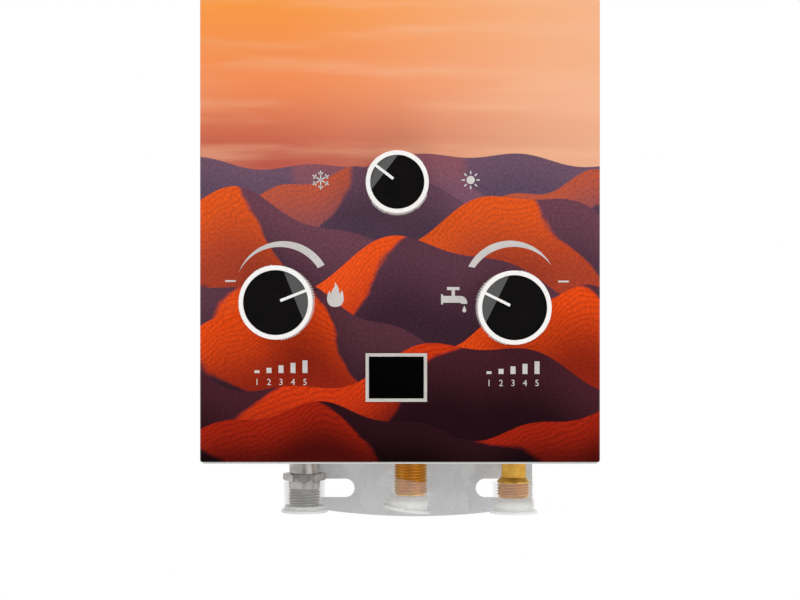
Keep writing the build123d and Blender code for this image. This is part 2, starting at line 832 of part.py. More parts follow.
# Micro-switch on the gas valve's end, its lever, and the push rod whose collar works the lever
switch_bottom = rod_z + rod_collar_radius + switch_rise
switch_top = switch_bottom + switch_height
lever_x = gas_right + switch_thickness + rod_travel + lever_barrel_radius
lever_z = rod_z + rod_collar_radius - rod_travel / 2 + lever_length
barrel_half = lever_width / 2
switch_half = switch_length / 2
pin_line = along_y(lever_x, lever_z)
with BuildPart() as microswitch:
    block((gas_right, gas_right + switch_thickness), (valve_mid_y - switch_half, valve_mid_y + switch_half),
          (switch_bottom, switch_top))
    for inner in (barrel_half + seat_clearance, -barrel_half - seat_clearance - switch_ear):
        block((gas_right, lever_x + lever_barrel_radius),
              (valve_mid_y + inner, valve_mid_y + inner + switch_ear),
              (lever_z - lever_barrel_radius, lever_z + lever_barrel_radius))
    post(pin_line, valve_mid_y - barrel_half - switch_ear, valve_mid_y + barrel_half + switch_ear,
         lever_pin_radius)
    post(along_x(valve_mid_y, (switch_bottom + switch_top) / 2), gas_right + switch_thickness,
         gas_right + switch_thickness + switch_button_height, switch_button_radius)
save(microswitch, "microswitch")

lever_low = lever_z - lever_length
with BuildPart() as microswitch_lever:
    post(pin_line, valve_mid_y - barrel_half, valve_mid_y + barrel_half, lever_barrel_radius)
    block((lever_x, lever_x + lever_thickness), (valve_mid_y - barrel_half, valve_mid_y + barrel_half),
          (lever_low, lever_z))
    drill(pin_line, valve_mid_y - barrel_half - overrun, valve_mid_y + barrel_half + overrun,
          lever_pin_radius + seat_clearance)
save(microswitch_lever, "microswitch_lever")

collar_left = lever_x + lever_thickness + running_clearance
plate_right = diaphragm_left - seat_clearance
with BuildPart() as push_rod:
    post(rod_line, disc_face, plate_right, rod_radius)
    post(rod_line, collar_left, collar_left + rod_collar_length, rod_collar_radius)
    post(rod_line, plate_right - rod_plate_thickness, plate_right, rod_plate_radius)
save(push_rod, "push_rod")

# Sheet brackets that carry the two valves on the back plate
with BuildPart() as valve_brackets:
    for x in ((solenoid_x + chamber_left) / 2, (water_left + water_right) / 2):
        sides = (x - valve_bracket_width / 2, x + valve_bracket_width / 2)
        block(sides, (valve_back_y, back_y), (valve_top - bracket_sheet, valve_top))
        block(sides, (valve_back_y, valve_back_y + bracket_sheet), (valve_bottom, valve_top))
        block(sides, (back_y - bracket_sheet, back_y), (valve_bottom, valve_top))
save(valve_brackets, "valve_brackets")

# Section valve above the gas valve, the riser between them, and the manifold with its injectors
season_bottom = season_z - season_half
boss_y = (season_front_y + manifold_y) / 2
with BuildPart() as season_valve_body:
    block((season_x - season_half_width, season_x + season_half_width), (season_front_y, season_back_y),
          (season_bottom, season_z + season_half))
    post(along_z(season_x, boss_y), season_z + season_half, manifold_bottom, season_boss_radius)
    drill(along_y(season_x, season_z), season_front_y - overrun,
          season_front_y + plug_length + running_clearance, plug_radius + seat_clearance)
    drill(along_z(season_x, boss_y), season_z, manifold_bottom + overrun, passage_radius)
    drill(along_z(season_x, riser_y), season_bottom - overrun, season_z, riser_bore)
    drill(along_y(season_x, season_z), season_front_y + plug_length, riser_y, riser_bore)
save(season_valve_body, "season_valve_body")

riser_turn_z = (valve_top + season_bottom) / 2
with BuildPart() as gas_riser:
    tube([(gas_knob_x, riser_y, valve_top), (gas_knob_x, riser_y, riser_turn_z),
          (season_x, riser_y, riser_turn_z), (season_x, riser_y, season_bottom)],
         riser_bend, riser_radius, riser_radius - riser_bore)
save(gas_riser, "gas_riser")

blade_pitch = 2 * (furnace_half - inner_sheet) / blade_count
blade_places = [(number - (blade_count - 1) / 2) * blade_pitch for number in range(blade_count)]
manifold_top = manifold_bottom + manifold_height
with BuildPart() as gas_manifold:
    block((-furnace_half, furnace_half), (season_front_y, manifold_y), (manifold_bottom, manifold_top))
    block((manifold_wall - furnace_half, furnace_half - manifold_wall),
          (season_front_y + manifold_wall, manifold_y - manifold_wall),
          (manifold_bottom + manifold_wall, manifold_top - manifold_wall), mode=Mode.SUBTRACT)
    drill(along_z(season_x, boss_y), manifold_bottom - overrun, burner_axis, passage_radius)
    for x in blade_places:
        drill(along_y(x, burner_axis), boss_y, manifold_y + overrun, injector_bore)
save(gas_manifold, "gas_manifold")

with BuildPart() as injectors:
    for x in blade_places:
        post(along_y(x, burner_axis), manifold_y, furnace_front, injector_radius)
        drill(along_y(x, burner_axis), manifold_y - overrun, furnace_front + overrun, injector_bore)
save(injectors, "injectors")

# Burner: an open frame that holds a row of slotted blades over the injectors
inner_front = furnace_front + inner_sheet
inner_back = furnace_back - inner_sheet
inner_half = furnace_half - inner_sheet
with BuildPart() as burner_frame:
    block((-furnace_half, furnace_half), (furnace_front, furnace_back), (burner_bottom, chamber_bottom))
    block((-inner_half, inner_half), (inner_front, inner_back),
          (burner_bottom - overrun, chamber_bottom + overrun), mode=Mode.SUBTRACT)
    for x in blade_places:
        drill(along_y(x, burner_axis), furnace_front - overrun, inner_front + overrun,
              venturi_radius - venturi_wall)
save(burner_frame, "burner_frame")

blade_top = chamber_bottom - blade_top_gap
head_bottom = blade_top - blade_head_height
port_pitch = (inner_back - inner_front) / port_count
with BuildPart() as burner_blades:
    with BuildSketch(Plane.XZ.offset(-inner_back)):
        for x in blade_places:
            with Locations((x, burner_axis)):
                Circle(venturi_radius)
            with Locations((x, (burner_axis + blade_top) / 2)):
                Rectangle(blade_neck, blade_top - burner_axis)
            with Locations((x, (head_bottom + blade_top) / 2)):
                Rectangle(blade_head_width, blade_head_height)
    extrude(amount=inner_back - inner_front)
    for x in blade_places:
        drill(along_y(x, burner_axis), inner_front - overrun, furnace_mid, venturi_radius - venturi_wall)
    for number in range(port_count):
        port_y = inner_front + (number + 1 / 2) * port_pitch
        block((-furnace_half, furnace_half), (port_y - port_width / 2, port_y + port_width / 2),
              (blade_top - port_depth, blade_top + overrun), mode=Mode.SUBTRACT)
save(burner_blades, "burner_blades")

# Combustion chamber with holes for the exchanger's passes and the electrodes
tube_rows = [first_tube_y + number * tube_pitch for number in range(tube_passes)]
electrode_z = chamber_bottom + electrode_rise
electrode_places = (-electrode_spacing / 2, electrode_spacing / 2)
with BuildPart() as combustion_chamber:
    block((-furnace_half, furnace_half), (furnace_front, furnace_back), (chamber_bottom, chamber_top))
    block((-inner_half, inner_half), (inner_front, inner_back),
          (chamber_bottom - overrun, chamber_top + overrun), mode=Mode.SUBTRACT)
    for y in tube_rows:
        drill(along_x(y, tube_z), -furnace_half - overrun, furnace_half + overrun,
              tube_radius + seat_clearance)
    for x in electrode_places:
        drill(along_y(x, electrode_z), furnace_front - overrun, inner_front + overrun,
              electrode_radius + seat_clearance)
save(combustion_chamber, "combustion_chamber")

# Heat exchanger: fins on a tube that passes to and fro through the chamber
fin_pitch = 2 * inner_half / fin_count
with BuildPart() as exchanger_fins:
    for number in range(fin_count):
        fin_x = (number - (fin_count - 1) / 2) * fin_pitch
        with BuildSketch(along_x(0, 0).offset(fin_x - fin_thickness / 2)):
            with Locations((furnace_mid, tube_z)):
                Rectangle(inner_back - inner_front - 2 * seat_clearance, 2 * fin_half_height)
            with Locations(*[(y, tube_z) for y in tube_rows]):
                Circle(tube_radius + seat_clearance, mode=Mode.SUBTRACT)
        extrude(amount=fin_thickness)
save(exchanger_fins, "exchanger_fins")

bend_x = furnace_half + tube_pitch / 2 + bend_gap
tube_route = [(tube_reach, tube_rows[0], tube_z)]
for number in range(tube_passes - 1):
    side = -1 if number % 2 == 0 else 1
    tube_route.append((side * bend_x, tube_rows[number], tube_z))
    tube_route.append((side * bend_x, tube_rows[number + 1], tube_z))
tube_route.append((-tube_reach, tube_rows[-1], tube_z))
with BuildPart() as exchanger_tubes:
    tube(tube_route, bend_share * tube_pitch, tube_radius, tube_wall)
save(exchanger_tubes, "exchanger_tubes")

# Jacket coil: from the water valve up the right side, once round the chamber, and into the exchanger
coil_gap = coil_radius + coil_stand_off
coil_x = furnace_half + coil_gap
coil_front = furnace_front - coil_gap
coil_back = furnace_back + coil_gap
coil_z = chamber_bottom + coil_start_share * chamber_height
coil_step = coil_step_share * chamber_height
return_line_x = coil_x + coil_return_space
outlet_x = water_knob_x + water_outlet_offset
with BuildPart() as jacket_coil:
    tube([(outlet_x, furnace_mid, valve_top), (outlet_x, furnace_mid, valve_top + feed_low_run),
          (coil_x, furnace_mid, valve_top + feed_low_run + feed_jog), (coil_x, furnace_mid, coil_z),
          (coil_x, coil_front, coil_z), (-coil_x, coil_front, coil_z + coil_step),
          (-coil_x, coil_back, coil_z + 2 * coil_step), (return_line_x, coil_back, coil_z + 3 * coil_step),
          (return_line_x, tube_rows[0], tube_z), (tube_reach, tube_rows[0], tube_z)],
         coil_bend, coil_radius, coil_wall)
save(jacket_coil, "jacket_coil")

# Flue hood from the chamber's top to a neck round the collar's lower end
neck_radius = flue_radius + running_clearance
hood_half = neck_radius + inner_sheet + hood_margin
neck_top = casing_top - casing_sheet - hood_gap
hood_top = neck_top - hood_neck_height
with BuildPart() as flue_hood:
    for inset, top, mode in ((0, hood_top, Mode.ADD), (inner_sheet, hood_top - inner_sheet, Mode.SUBTRACT)):
        with BuildSketch(along_z(0, furnace_mid).offset(chamber_top)):
            Rectangle(2 * (furnace_half - inset), furnace_depth - 2 * inset)
        with BuildSketch(along_z(0, flue_y).offset(top)):
            Rectangle(2 * (hood_half - inset), 2 * (hood_half - inset))
        loft(mode=mode)
    post(along_z(0, flue_y), hood_top, neck_top, neck_radius + inner_sheet)
    drill(along_z(0, flue_y), hood_top - inner_sheet - overrun, neck_top + overrun, neck_radius)
save(flue_hood, "flue_hood")

# Brackets that hold the chamber off the back plate
with BuildPart() as chamber_brackets:
    for x in (-chamber_bracket_place_share * furnace_half, chamber_bracket_place_share * furnace_half):
        for low in (chamber_bottom + inner_sheet, chamber_top - chamber_bracket_height - inner_sheet):
            high = low + chamber_bracket_height
            sides = (x - chamber_bracket_width / 2, x + chamber_bracket_width / 2)
            block(sides, (furnace_back, back_y), (low, low + bracket_sheet))
            block(sides, (furnace_back, furnace_back + bracket_sheet), (low, high))
            block(sides, (back_y - bracket_sheet, back_y), (low, high))
save(chamber_brackets, "chamber_brackets")

# Igniter and flame sensor: ceramic rods with a wire tip over the blades
electrode_inner = inner_front + electrode_radius
electrode_outer = electrode_inner - electrode_length
with BuildPart() as electrodes:
    for x in electrode_places:
        post(along_y(x, electrode_z), electrode_outer, electrode_inner, electrode_radius)
        post(along_y(x, electrode_z), electrode_inner, electrode_inner + electrode_reach,
             electrode_wire_radius)
save(electrodes, "electrodes")

# Overheat thermostat on the chamber's right wall
thermostat_z = chamber_bottom + thermostat_rise_share * chamber_height
with BuildPart() as overheat_thermostat:
    post(along_x(furnace_front + thermostat_place_share * furnace_depth, thermostat_z),
         furnace_half, furnace_half + thermostat_height, thermostat_radius)
save(overheat_thermostat, "overheat_thermostat")

# Hot outlet: sleeve, hexagon and thread
with BuildPart() as hot_outlet_fitting:
    turned(hot_x, hot_outlet_y, [
        *thread_outline(-hot_thread_drop, -hot_thread_top), (hot_neck_radius, -hot_thread_top),
        (hot_neck_radius, -hot_sleeve_drop), (hot_sleeve_radius, -hot_sleeve_drop),
        (hot_sleeve_radius, fitting_top),
        (hot_pipe_radius - hot_pipe_wall, fitting_top), (hot_pipe_radius - hot_pipe_wall, hot_bore_top),
        (hot_bore, hot_bore_top), (hot_bore, -hot_thread_drop)])
    with BuildSketch(along_z(hot_x, hot_outlet_y).offset(-hot_hex_drop)):
        RegularPolygon(hot_hex_flats / 2, 6, major_radius=False)
        Circle(hot_bore, mode=Mode.SUBTRACT)
    extrude(amount=hot_hex_drop - hot_hex_top)
save(hot_outlet_fitting, "hot_outlet_fitting")

# Gas inlet: a long thread and a tail up to the gas valve
with BuildPart() as gas_inlet_fitting:
    turned(gas_inlet_x, gas_inlet_y, [
        *thread_outline(-gas_thread_drop, gas_thread_rise), (gas_tail_radius, gas_thread_rise),
        (gas_tail_radius, valve_bottom), (gas_bore, valve_bottom), (gas_bore, -gas_thread_drop)])
save(gas_inlet_fitting, "gas_inlet_fitting")

# Cold inlet: thread, hexagonal neck and a tail up to the water valve
with BuildPart() as cold_inlet_fitting:
    turned(cold_x, cold_inlet_y, [
        *thread_outline(-cold_thread_drop, -cold_thread_top), (cold_neck_radius, -cold_thread_top),
        (cold_neck_radius, -cold_hex_drop), (cold_bore, -cold_hex_drop), (cold_bore, -cold_thread_drop)])
    turned(cold_x, cold_inlet_y, [
        (cold_bore, cold_hex_top), (cold_tail_radius, cold_hex_top), (cold_tail_radius, valve_bottom),
        (cold_bore, valve_bottom)])
    with BuildSketch(along_z(cold_x, cold_inlet_y).offset(-cold_hex_drop)):
        RegularPolygon(cold_hex_flats / 2, 6, major_radius=False, rotation=90)
        Circle(cold_bore, mode=Mode.SUBTRACT)
    extrude(amount=cold_hex_drop + cold_hex_top)
save(cold_inlet_fitting, "cold_inlet_fitting")


# A transport cap: a cup with a bead inside its mouth and a flange at its closed end
def make_cap(name, x, y, drop, tilt):
    lean = math.radians(tilt)
    bead_radius = thread_radius + cap_bead_gap
    top = cap_bead_thickness / 2
    bottom = top - cap_height
    floor = bottom + cap_flange_thickness
    low_radius = cap_mouth_radius - cap_taper
    plane = Plane(origin=(x, y, -drop - top), x_dir=(math.cos(lean), 0, -math.sin(lean)), z_dir=(0, -1, 0))
    with BuildPart() as cap:
        with BuildSketch(plane):
            with BuildLine():
                Polyline(
                    (cap_mouth_radius, top), (low_radius, floor), (cap_flange_radius, floor),
                    (cap_flange_radius, bottom), (0, bottom), (0, floor), (low_radius - cap_wall, floor),
                    (cap_mouth_radius - cap_wall, top - cap_bead_thickness),
                    (bead_radius, top - cap_bead_thickness), (bead_radius, top), close=True)
            make_face()
        revolve(axis=Axis(plane.origin, plane.y_dir))
    save(cap, name)


make_cap("hot_cap", hot_x, hot_outlet_y, hot_cap_drop, 0)
make_cap("gas_cap", gas_inlet_x, gas_inlet_y, gas_cap_drop, gas_cap_tilt)
make_cap("cold_cap", cold_x, cold_inlet_y, cold_cap_drop, 0)

# Hot pipe from the exchanger down the left side to the outlet
hot_line_x = -furnace_half - hot_pipe_offset
hot_turn_z = valve_top + hot_pipe_turn_rise
with BuildPart() as hot_pipe:
    tube([(-tube_reach, last_tube_y, tube_z), (hot_line_x, last_tube_y, tube_z),
          (hot_line_x, last_tube_y, hot_turn_z), (hot_x, hot_outlet_y, hot_turn_z - hot_pipe_turn_drop),
          (hot_x, hot_outlet_y, fitting_top)], hot_pipe_bend, hot_pipe_radius, hot_pipe_wall)
save(hot_pipe, "hot_pipe")

# Battery box, let through the bottom plate
cell_bottom = casing_bottom + lid_thickness + contact_sheet + contact_spring_height + seat_clearance
cell_top = cell_bottom + cell_length
battery_ceiling = cell_top + contact_sheet
lid_axis_y = battery_back - battery_wall - running_clearance - lid_barrel_radius
lid_axis_z = casing_bottom + lid_barrel_radius
battery_x = (battery_left + battery_right) / 2
cell_places = [battery_front + battery_wall + cell_clearance + cell_radius]
cell_places.append(cell_places[0] + 2 * cell_radius + cell_clearance)
hinge_line = along_x(lid_axis_y, lid_axis_z)
with BuildPart() as battery_box:
    block((battery_left, battery_right), (battery_front, battery_back),
          (casing_bottom, battery_ceiling + battery_wall))
    block((battery_left, battery_right + flange_reach), (battery_front - flange_reach, battery_back),
          (floor_z, floor_z + battery_flange))
    block((battery_left + battery_wall, battery_right - battery_wall),
          (battery_front + battery_wall, battery_back - battery_wall),
          (casing_bottom - overrun, battery_ceiling), mode=Mode.SUBTRACT)
    drill(hinge_line, battery_left - overrun, battery_right + overrun, lid_pin_radius + seat_clearance)
save(battery_box, "battery_box")

# Lid with its hinge barrel and trunnions, closed flush with the bottom plate
lid_left = battery_left + battery_wall + running_clearance
lid_right = battery_right - battery_wall - running_clearance
with BuildPart() as battery_lid:
    block((lid_left, lid_right), (battery_front + battery_wall + running_clearance, lid_axis_y),
          (casing_bottom, casing_bottom + lid_thickness))
    post(hinge_line, lid_left, lid_right, lid_barrel_radius)
    post(hinge_line, lid_left - lid_pin_length, lid_right + lid_pin_length, lid_pin_radius)
save(battery_lid, "battery_lid")

with BuildPart() as d_cells:
    for y in cell_places:
        post(along_z(battery_x, y), cell_bottom, cell_top - cell_button_height, cell_radius)
        post(along_z(battery_x, y), cell_top - cell_button_height, cell_top, cell_button_radius)
save(d_cells, "d_cells")

with BuildPart() as battery_contacts:
    for y in cell_places:
        block((battery_x - contact_width / 2, battery_x + contact_width / 2),
              (y - contact_width / 2, y + contact_width / 2), (cell_top, battery_ceiling))
save(battery_contacts, "battery_contacts")

contact_z = casing_bottom + lid_thickness
with BuildPart() as lid_contact:
    block((battery_x - contact_width / 2, battery_x + contact_width / 2),
          (cell_places[0] - contact_width / 2, cell_places[1] + contact_width / 2),
          (contact_z, contact_z + contact_sheet))
    for y in cell_places:
        with Locations((battery_x, y, contact_z + contact_sheet)):
            Cone(contact_spring_radius, contact_spring_tip, contact_spring_height,
                 align=(Align.CENTER, Align.CENTER, Align.MIN))
save(lid_contact, "lid_contact")

# Control box on the bottom plate, and the ignition lead up to the igniter
control_right = casing_inner - control_side_gap
with BuildPart() as control_box:
    block((control_right - control_width, control_right), (battery_back - control_depth, battery_back),
          (floor_z, floor_z + control_height))
    fillet(control_box.edges().filter_by(Axis.Z), control_round)
save(control_box, "control_box")

lead_x = casing_inner - lead_from_side
lead_y = inner_front_y + lead_front_space
igniter_x = electrode_places[1]
with BuildPart() as ignition_lead:
    tube([(lead_x, furnace_mid, floor_z + control_height),
          (lead_x, furnace_mid, lead_rise_share * electrode_z),
          (lead_x, lead_y, electrode_z), (igniter_x, lead_y, electrode_z),
          (igniter_x, electrode_outer, electrode_z)], [lead_bend, lead_bend, lead_end_bend], lead_radius, 0)
save(ignition_lead, "ignition_lead")
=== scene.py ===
import math
import bpy
import bmesh
from mathutils import Matrix, Vector


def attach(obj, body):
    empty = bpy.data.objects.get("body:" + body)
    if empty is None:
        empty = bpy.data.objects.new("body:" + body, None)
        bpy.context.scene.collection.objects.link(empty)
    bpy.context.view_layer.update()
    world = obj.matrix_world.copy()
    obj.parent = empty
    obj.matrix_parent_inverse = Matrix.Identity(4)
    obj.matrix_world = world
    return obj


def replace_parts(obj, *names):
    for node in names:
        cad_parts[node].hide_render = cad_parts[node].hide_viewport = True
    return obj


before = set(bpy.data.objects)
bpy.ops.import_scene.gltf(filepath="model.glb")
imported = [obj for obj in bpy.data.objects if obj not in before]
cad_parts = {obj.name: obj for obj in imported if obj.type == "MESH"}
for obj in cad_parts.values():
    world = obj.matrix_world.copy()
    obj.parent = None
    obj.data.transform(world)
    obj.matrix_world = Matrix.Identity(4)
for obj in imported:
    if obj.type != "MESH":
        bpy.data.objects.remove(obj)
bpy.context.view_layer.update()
print("frame loaded:", len(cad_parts), "nodes")

mm = 0.001
wholeTurn = 2 * math.pi


# sRGB hex to linear
def linear(hexText):
    parts = [int(hexText[i:i + 2], 16) / 255 for i in (1, 3, 5)]
    return [c / 12.92 if c <= 0.04045 else ((c + 0.055) / 1.055) ** 2.4 for c in parts] + [1]


# settings that many nodes share
rgba = {"data_type": "RGBA"}
softStep = {"interpolation_type": "SMOOTHSTEP"}
multiplyAdd = {"operation": "MULTIPLY_ADD"}
sine = {"operation": "SINE"}


# one node, with its settings, fixed values and links
def addNode(tree, kind, settings={}, values={}, links={}):
    node = tree.nodes.new(kind)
    for name, value in settings.items():
        setattr(node, name, value)
    for socket, value in values.items():
        node.inputs[socket].default_value = value
    for socket, source in links.items():
        tree.links.new(source, node.inputs[socket])
    return node


# texture scale in metres for a pattern of this real size
def scaleFor(sizeMm):
    return 1000 / sizeMm


# camera: square on to the front, level, at the height of the middle of the picture
camera = dict(place=(0, -1.212, 0.0974), lens=82.5, sensor=36, nearest=0.01)

cameraData = bpy.data.cameras.new("camera")
cameraData.lens = camera["lens"]
cameraData.sensor_width = camera["sensor"]
cameraData.clip_start = camera["nearest"]
cameraObject = bpy.data.objects.new("camera", cameraData)
cameraObject.location = camera["place"]
cameraObject.rotation_euler = (math.pi / 2, 0, 0)
bpy.context.collection.objects.link(cameraObject)
bpy.context.scene.camera = cameraObject
bpy.context.scene.view_settings.view_transform = "Standard"

# studio: soft lamps, white surroundings, a dark card straight in front so that gloss black stays deep
studio = dict(
    lamps=[("key", (-1.3, -1.7, 1.5), 1.2, 14), ("fill", (1.6, -1.5, 0.6), 1.4, 9), ("top", (0.2, -0.2, 2.0), 1.2, 9),
           ("rear", (0.8, 1.9, 1.0), 1.4, 4), ("low", (0.0, -1.1, -0.75), 0.9, 4)],
    aim=(0, -0.06, 0.17), worldLevel=0.62, darkInside=0.98, darkOutside=0.958, cardLevel=0.02,
    floorDrop=-1.7, floorRadius=4.0, paper=("#ebeae8", "#f2f1ef"), fibreMm=4, solidTo=0.15, goneFrom=0.95)

for lampName, place, size, power in studio["lamps"]:
    lampData = bpy.data.lights.new(lampName, "AREA")
    lampData.size = size
    lampData.energy = power
    lamp = bpy.data.objects.new(lampName, lampData)
    lamp.location = place
    lamp.visible_glossy = lampName != "low"  # fills the shade below the casing without a reflection in the glass
    lamp.rotation_euler = (Vector(studio["aim"]) - Vector(place)).to_track_quat("-Z", "Y").to_euler()
    bpy.context.collection.objects.link(lamp)

world = bpy.data.worlds.new("studio")
bpy.context.scene.world = world
world.use_nodes = True
tree = world.node_tree
tree.nodes.clear()
path = addNode(tree, "ShaderNodeLightPath")
looking = addNode(tree, "ShaderNodeTexCoord")
direction = addNode(tree, "ShaderNodeSeparateXYZ", links={0: looking.outputs["Generated"]})
facing = addNode(tree, "ShaderNodeMath", {"operation": "MULTIPLY"}, {1: -1}, {0: direction.outputs["Y"]})
card = addNode(tree, "ShaderNodeMapRange", softStep,
               {"From Min": studio["darkOutside"], "From Max": studio["darkInside"], "To Min": 1,
                "To Max": studio["cardLevel"]},
               {"Value": facing.outputs[0]})
seen = addNode(tree, "ShaderNodeMath", {"operation": "MAXIMUM"},
               links={0: path.outputs["Is Camera Ray"], 1: path.outputs["Is Transmission Ray"]})
glossLevel = addNode(tree, "ShaderNodeMix", values={"A": studio["worldLevel"]},
                     links={"Factor": path.outputs["Is Glossy Ray"], "B": card.outputs[0]})
level = addNode(tree, "ShaderNodeMix", values={"B": 1.0},
                links={"Factor": seen.outputs[0], "A": glossLevel.outputs[0]})
background = addNode(tree, "ShaderNodeBackground", values={"Color": (1, 1, 1, 1)},
                     links={"Strength": level.outputs[0]})
addNode(tree, "ShaderNodeOutputWorld", links={"Surface": background.outputs[0]})


def startMaterial(name):
    material = bpy.data.materials.new(name)
    material.use_nodes = True
    material.node_tree.nodes.clear()
    return material, material.node_tree


# matt paper floor: hardly any grain, keeps the shadow, fades into the white round it
floorPaper, tree = startMaterial("matt studio paper")
place = addNode(tree, "ShaderNodeTexCoord")
fibre = addNode(tree, "ShaderNodeTexNoise", values={"Scale": scaleFor(studio["fibreMm"]), "Detail": 3},
                links={"Vector": place.outputs["Object"]})
tone = addNode(tree, "ShaderNodeMix", rgba,
               {"A": linear(studio["paper"][0]), "B": linear(studio["paper"][1])}, {"Factor": fibre.outputs[0]})
fromMiddle = addNode(tree, "ShaderNodeVectorMath", {"operation": "LENGTH"}, links={0: place.outputs["Object"]})
fade = addNode(tree, "ShaderNodeMapRange", softStep,
               {"From Min": studio["solidTo"] * studio["floorRadius"],
                "From Max": studio["goneFrom"] * studio["floorRadius"], "To Min": 1, "To Max": 0},
               {"Value": fromMiddle.outputs["Value"]})
shader = addNode(tree, "ShaderNodeBsdfPrincipled", values={"Roughness": 0.9, "Specular IOR Level": 0.1},
                 links={"Base Color": tone.outputs["Result"], "Alpha": fade.outputs[0]})
addNode(tree, "ShaderNodeOutputMaterial", links={"Surface": shader.outputs[0]})
floorMesh = bmesh.new()
bmesh.ops.create_circle(floorMesh, cap_ends=True, segments=96, radius=studio["floorRadius"])
floorData = bpy.data.meshes.new("floor")
floorMesh.to_mesh(floorData)
floor = bpy.data.objects.new("floor", floorData)
floor.location = (0, 0, studio["floorDrop"])
floorData.materials.append(floorPaper)
bpy.context.collection.objects.link(floor)
print("camera, lamps, world and floor")


# a finish with a grain of its own size: two tones, uneven gloss and a fine relief
def grainFinish(name, look):
    material, tree = startMaterial(name)
    place = addNode(tree, "ShaderNodeTexCoord")
    stretched = addNode(tree, "ShaderNodeMapping", values={"Scale": look.get("stretch", (1, 1, 1))},
                        links={"Vector": place.outputs["Object"]})
    grain = addNode(tree, "ShaderNodeTexNoise", values={"Scale": scaleFor(look["grainMm"]), "Detail": 3},
                    links={"Vector": stretched.outputs[0]})
    patch = addNode(tree, "ShaderNodeTexNoise", values={"Scale": scaleFor(look["patchMm"]), "Detail": 2},
                    links={"Vector": place.outputs["Object"]})
    mixed = addNode(tree, "ShaderNodeMath", multiplyAdd, {1: 0.5},
                    {0: grain.outputs[0], 2: patch.outputs[0]})
    spread = addNode(tree, "ShaderNodeMapRange", values={"From Min": 0.5, "From Max": 1.0},
                     links={"Value": mixed.outputs[0]})
    tone = addNode(tree, "ShaderNodeMix", rgba,
                   {"A": linear(look["tones"][0]), "B": linear(look["tones"][1])}, {"Factor": spread.outputs[0]})
    # painted shade: ambient occlusion over a short reach darkens the colour in grooves and recesses towards a shade
    # tone
    if "paintedShadeReachMm" in look:
        aoShade = addNode(tree, "ShaderNodeAmbientOcclusion", {"samples": 8, "only_local": True},
                       {"Distance": look["paintedShadeReachMm"] * mm})
        openness = addNode(tree, "ShaderNodeMapRange", values={"From Min": 0.3, "From Max": 0.72},
                           links={"Value": aoShade.outputs["AO"]})
        tone = addNode(tree, "ShaderNodeMix", rgba, {"A": linear(look["paintedShadeTone"])},
                       {"Factor": openness.outputs[0], "B": tone.outputs["Result"]})
    # painted shading in thread roots: a per-vertex root mask blends the colour towards a darker tone for painted shade
    # or a brighter one for painted light
    if "paintedRootShading" in look:
        deep = addNode(tree, "ShaderNodeAttribute", {"attribute_name": "paintedRootShading"})
        tone = addNode(tree, "ShaderNodeMix", rgba, {"B": linear(look["paintedRootShading"])},
                       {"Factor": deep.outputs["Fac"], "A": tone.outputs["Result"]})
    gloss = addNode(tree, "ShaderNodeMapRange", values={"From Min": 0.3, "From Max": 0.7, "To Min": look["rough"][0],
                    "To Max": look["rough"][1]}, links={"Value": grain.outputs[0]})
    relief = addNode(tree, "ShaderNodeBump",
                     values={"Strength": look.get("bump", 0.4), "Distance": look["reliefMm"] * mm},
                     links={"Height": grain.outputs[0]})
    shader = addNode(tree, "ShaderNodeBsdfPrincipled", values={"Metallic": look.get("metal", 0)},
                     links={"Base Color": tone.outputs["Result"], "Roughness": gloss.outputs[0],
                            "Normal": relief.outputs[0]})
    for socket, value in look.get("sockets", {}).items():
        shader.inputs[socket].default_value = value
    addNode(tree, "ShaderNodeOutputMaterial", links={"Surface": shader.outputs[0]})
    return material


# powder coat on steel sheet: slight orange peel, soft sheen
powderCoat = grainFinish("white powder coat on steel", dict(
    tones=("#d6d6d3", "#dededb"), grainMm=1.4, patchMm=60, rough=(0.38, 0.52), reliefMm=0.06,
    sockets={"Specular IOR Level": 0.35}))
# moulded ABS, gloss tool: nearly smooth, faint flow marks; painted shade: ambient occlusion darkens the grooves
# between the grip ribs
knobAbs = grainFinish("gloss moulded ABS white", dict(
    tones=("#f0eeeb", "#f6f4f2"), grainMm=2.5, patchMm=18, rough=(0.22, 0.32), reliefMm=0.01, bump=0.15,
    paintedShadeReachMm=1.4, paintedShadeTone="#7d7570"))
# polished black acrylic: deep and glossy, almost no relief
discAcrylic = grainFinish("polished black acrylic", dict(
    tones=("#0b090a", "#100d0e"), grainMm=3, patchMm=12, rough=(0.07, 0.13), reliefMm=0.005, bump=0.15,
    sockets={"IOR": 1.6, "Coat Weight": 1.0, "Coat IOR": 1.6, "Coat Roughness": 0.08}))
# smoked PMMA window: black, mirror smooth
smokedPmma = grainFinish("smoked PMMA polished", dict(
    tones=("#010102", "#020203"), grainMm=6, patchMm=20, rough=(0.04, 0.08), reliefMm=0.003, bump=0.1))
# ABS with vacuum-metallised lacquer: pale satin silver
silverAbs = grainFinish("metallised ABS satin", dict(
    tones=("#d3cec7", "#e0dbd4"), grainMm=0.5, patchMm=9, rough=(0.3, 0.42), reliefMm=0.01, metal=0.55))
# matt ABS, spark-eroded tool: fine leathery grain
sparkAbs = grainFinish("spark-eroded ABS charcoal", dict(
    tones=("#1d1d1f", "#27272a"), grainMm=0.7, patchMm=14, rough=(0.5, 0.68), reliefMm=0.05))
# glass-filled PBT: dull black with pale specks
moduleResin = grainFinish("glass-filled PBT black", dict(
    tones=("#0e0e0e", "#1b1b1a"), grainMm=0.6, patchMm=5, rough=(0.45, 0.6), reliefMm=0.03))
# nickel plate over turned brass: bright, warm grey; painted shade darkens the thread roots
nickelPlate = grainFinish("nickel-plated brass turned", dict(
    tones=("#938e8b", "#c2beba"), grainMm=0.35, patchMm=6, rough=(0.3, 0.4), reliefMm=0.003, metal=1, paintedRootShading="#625c58",
    stretch=(0.12, 0.12, 1)))
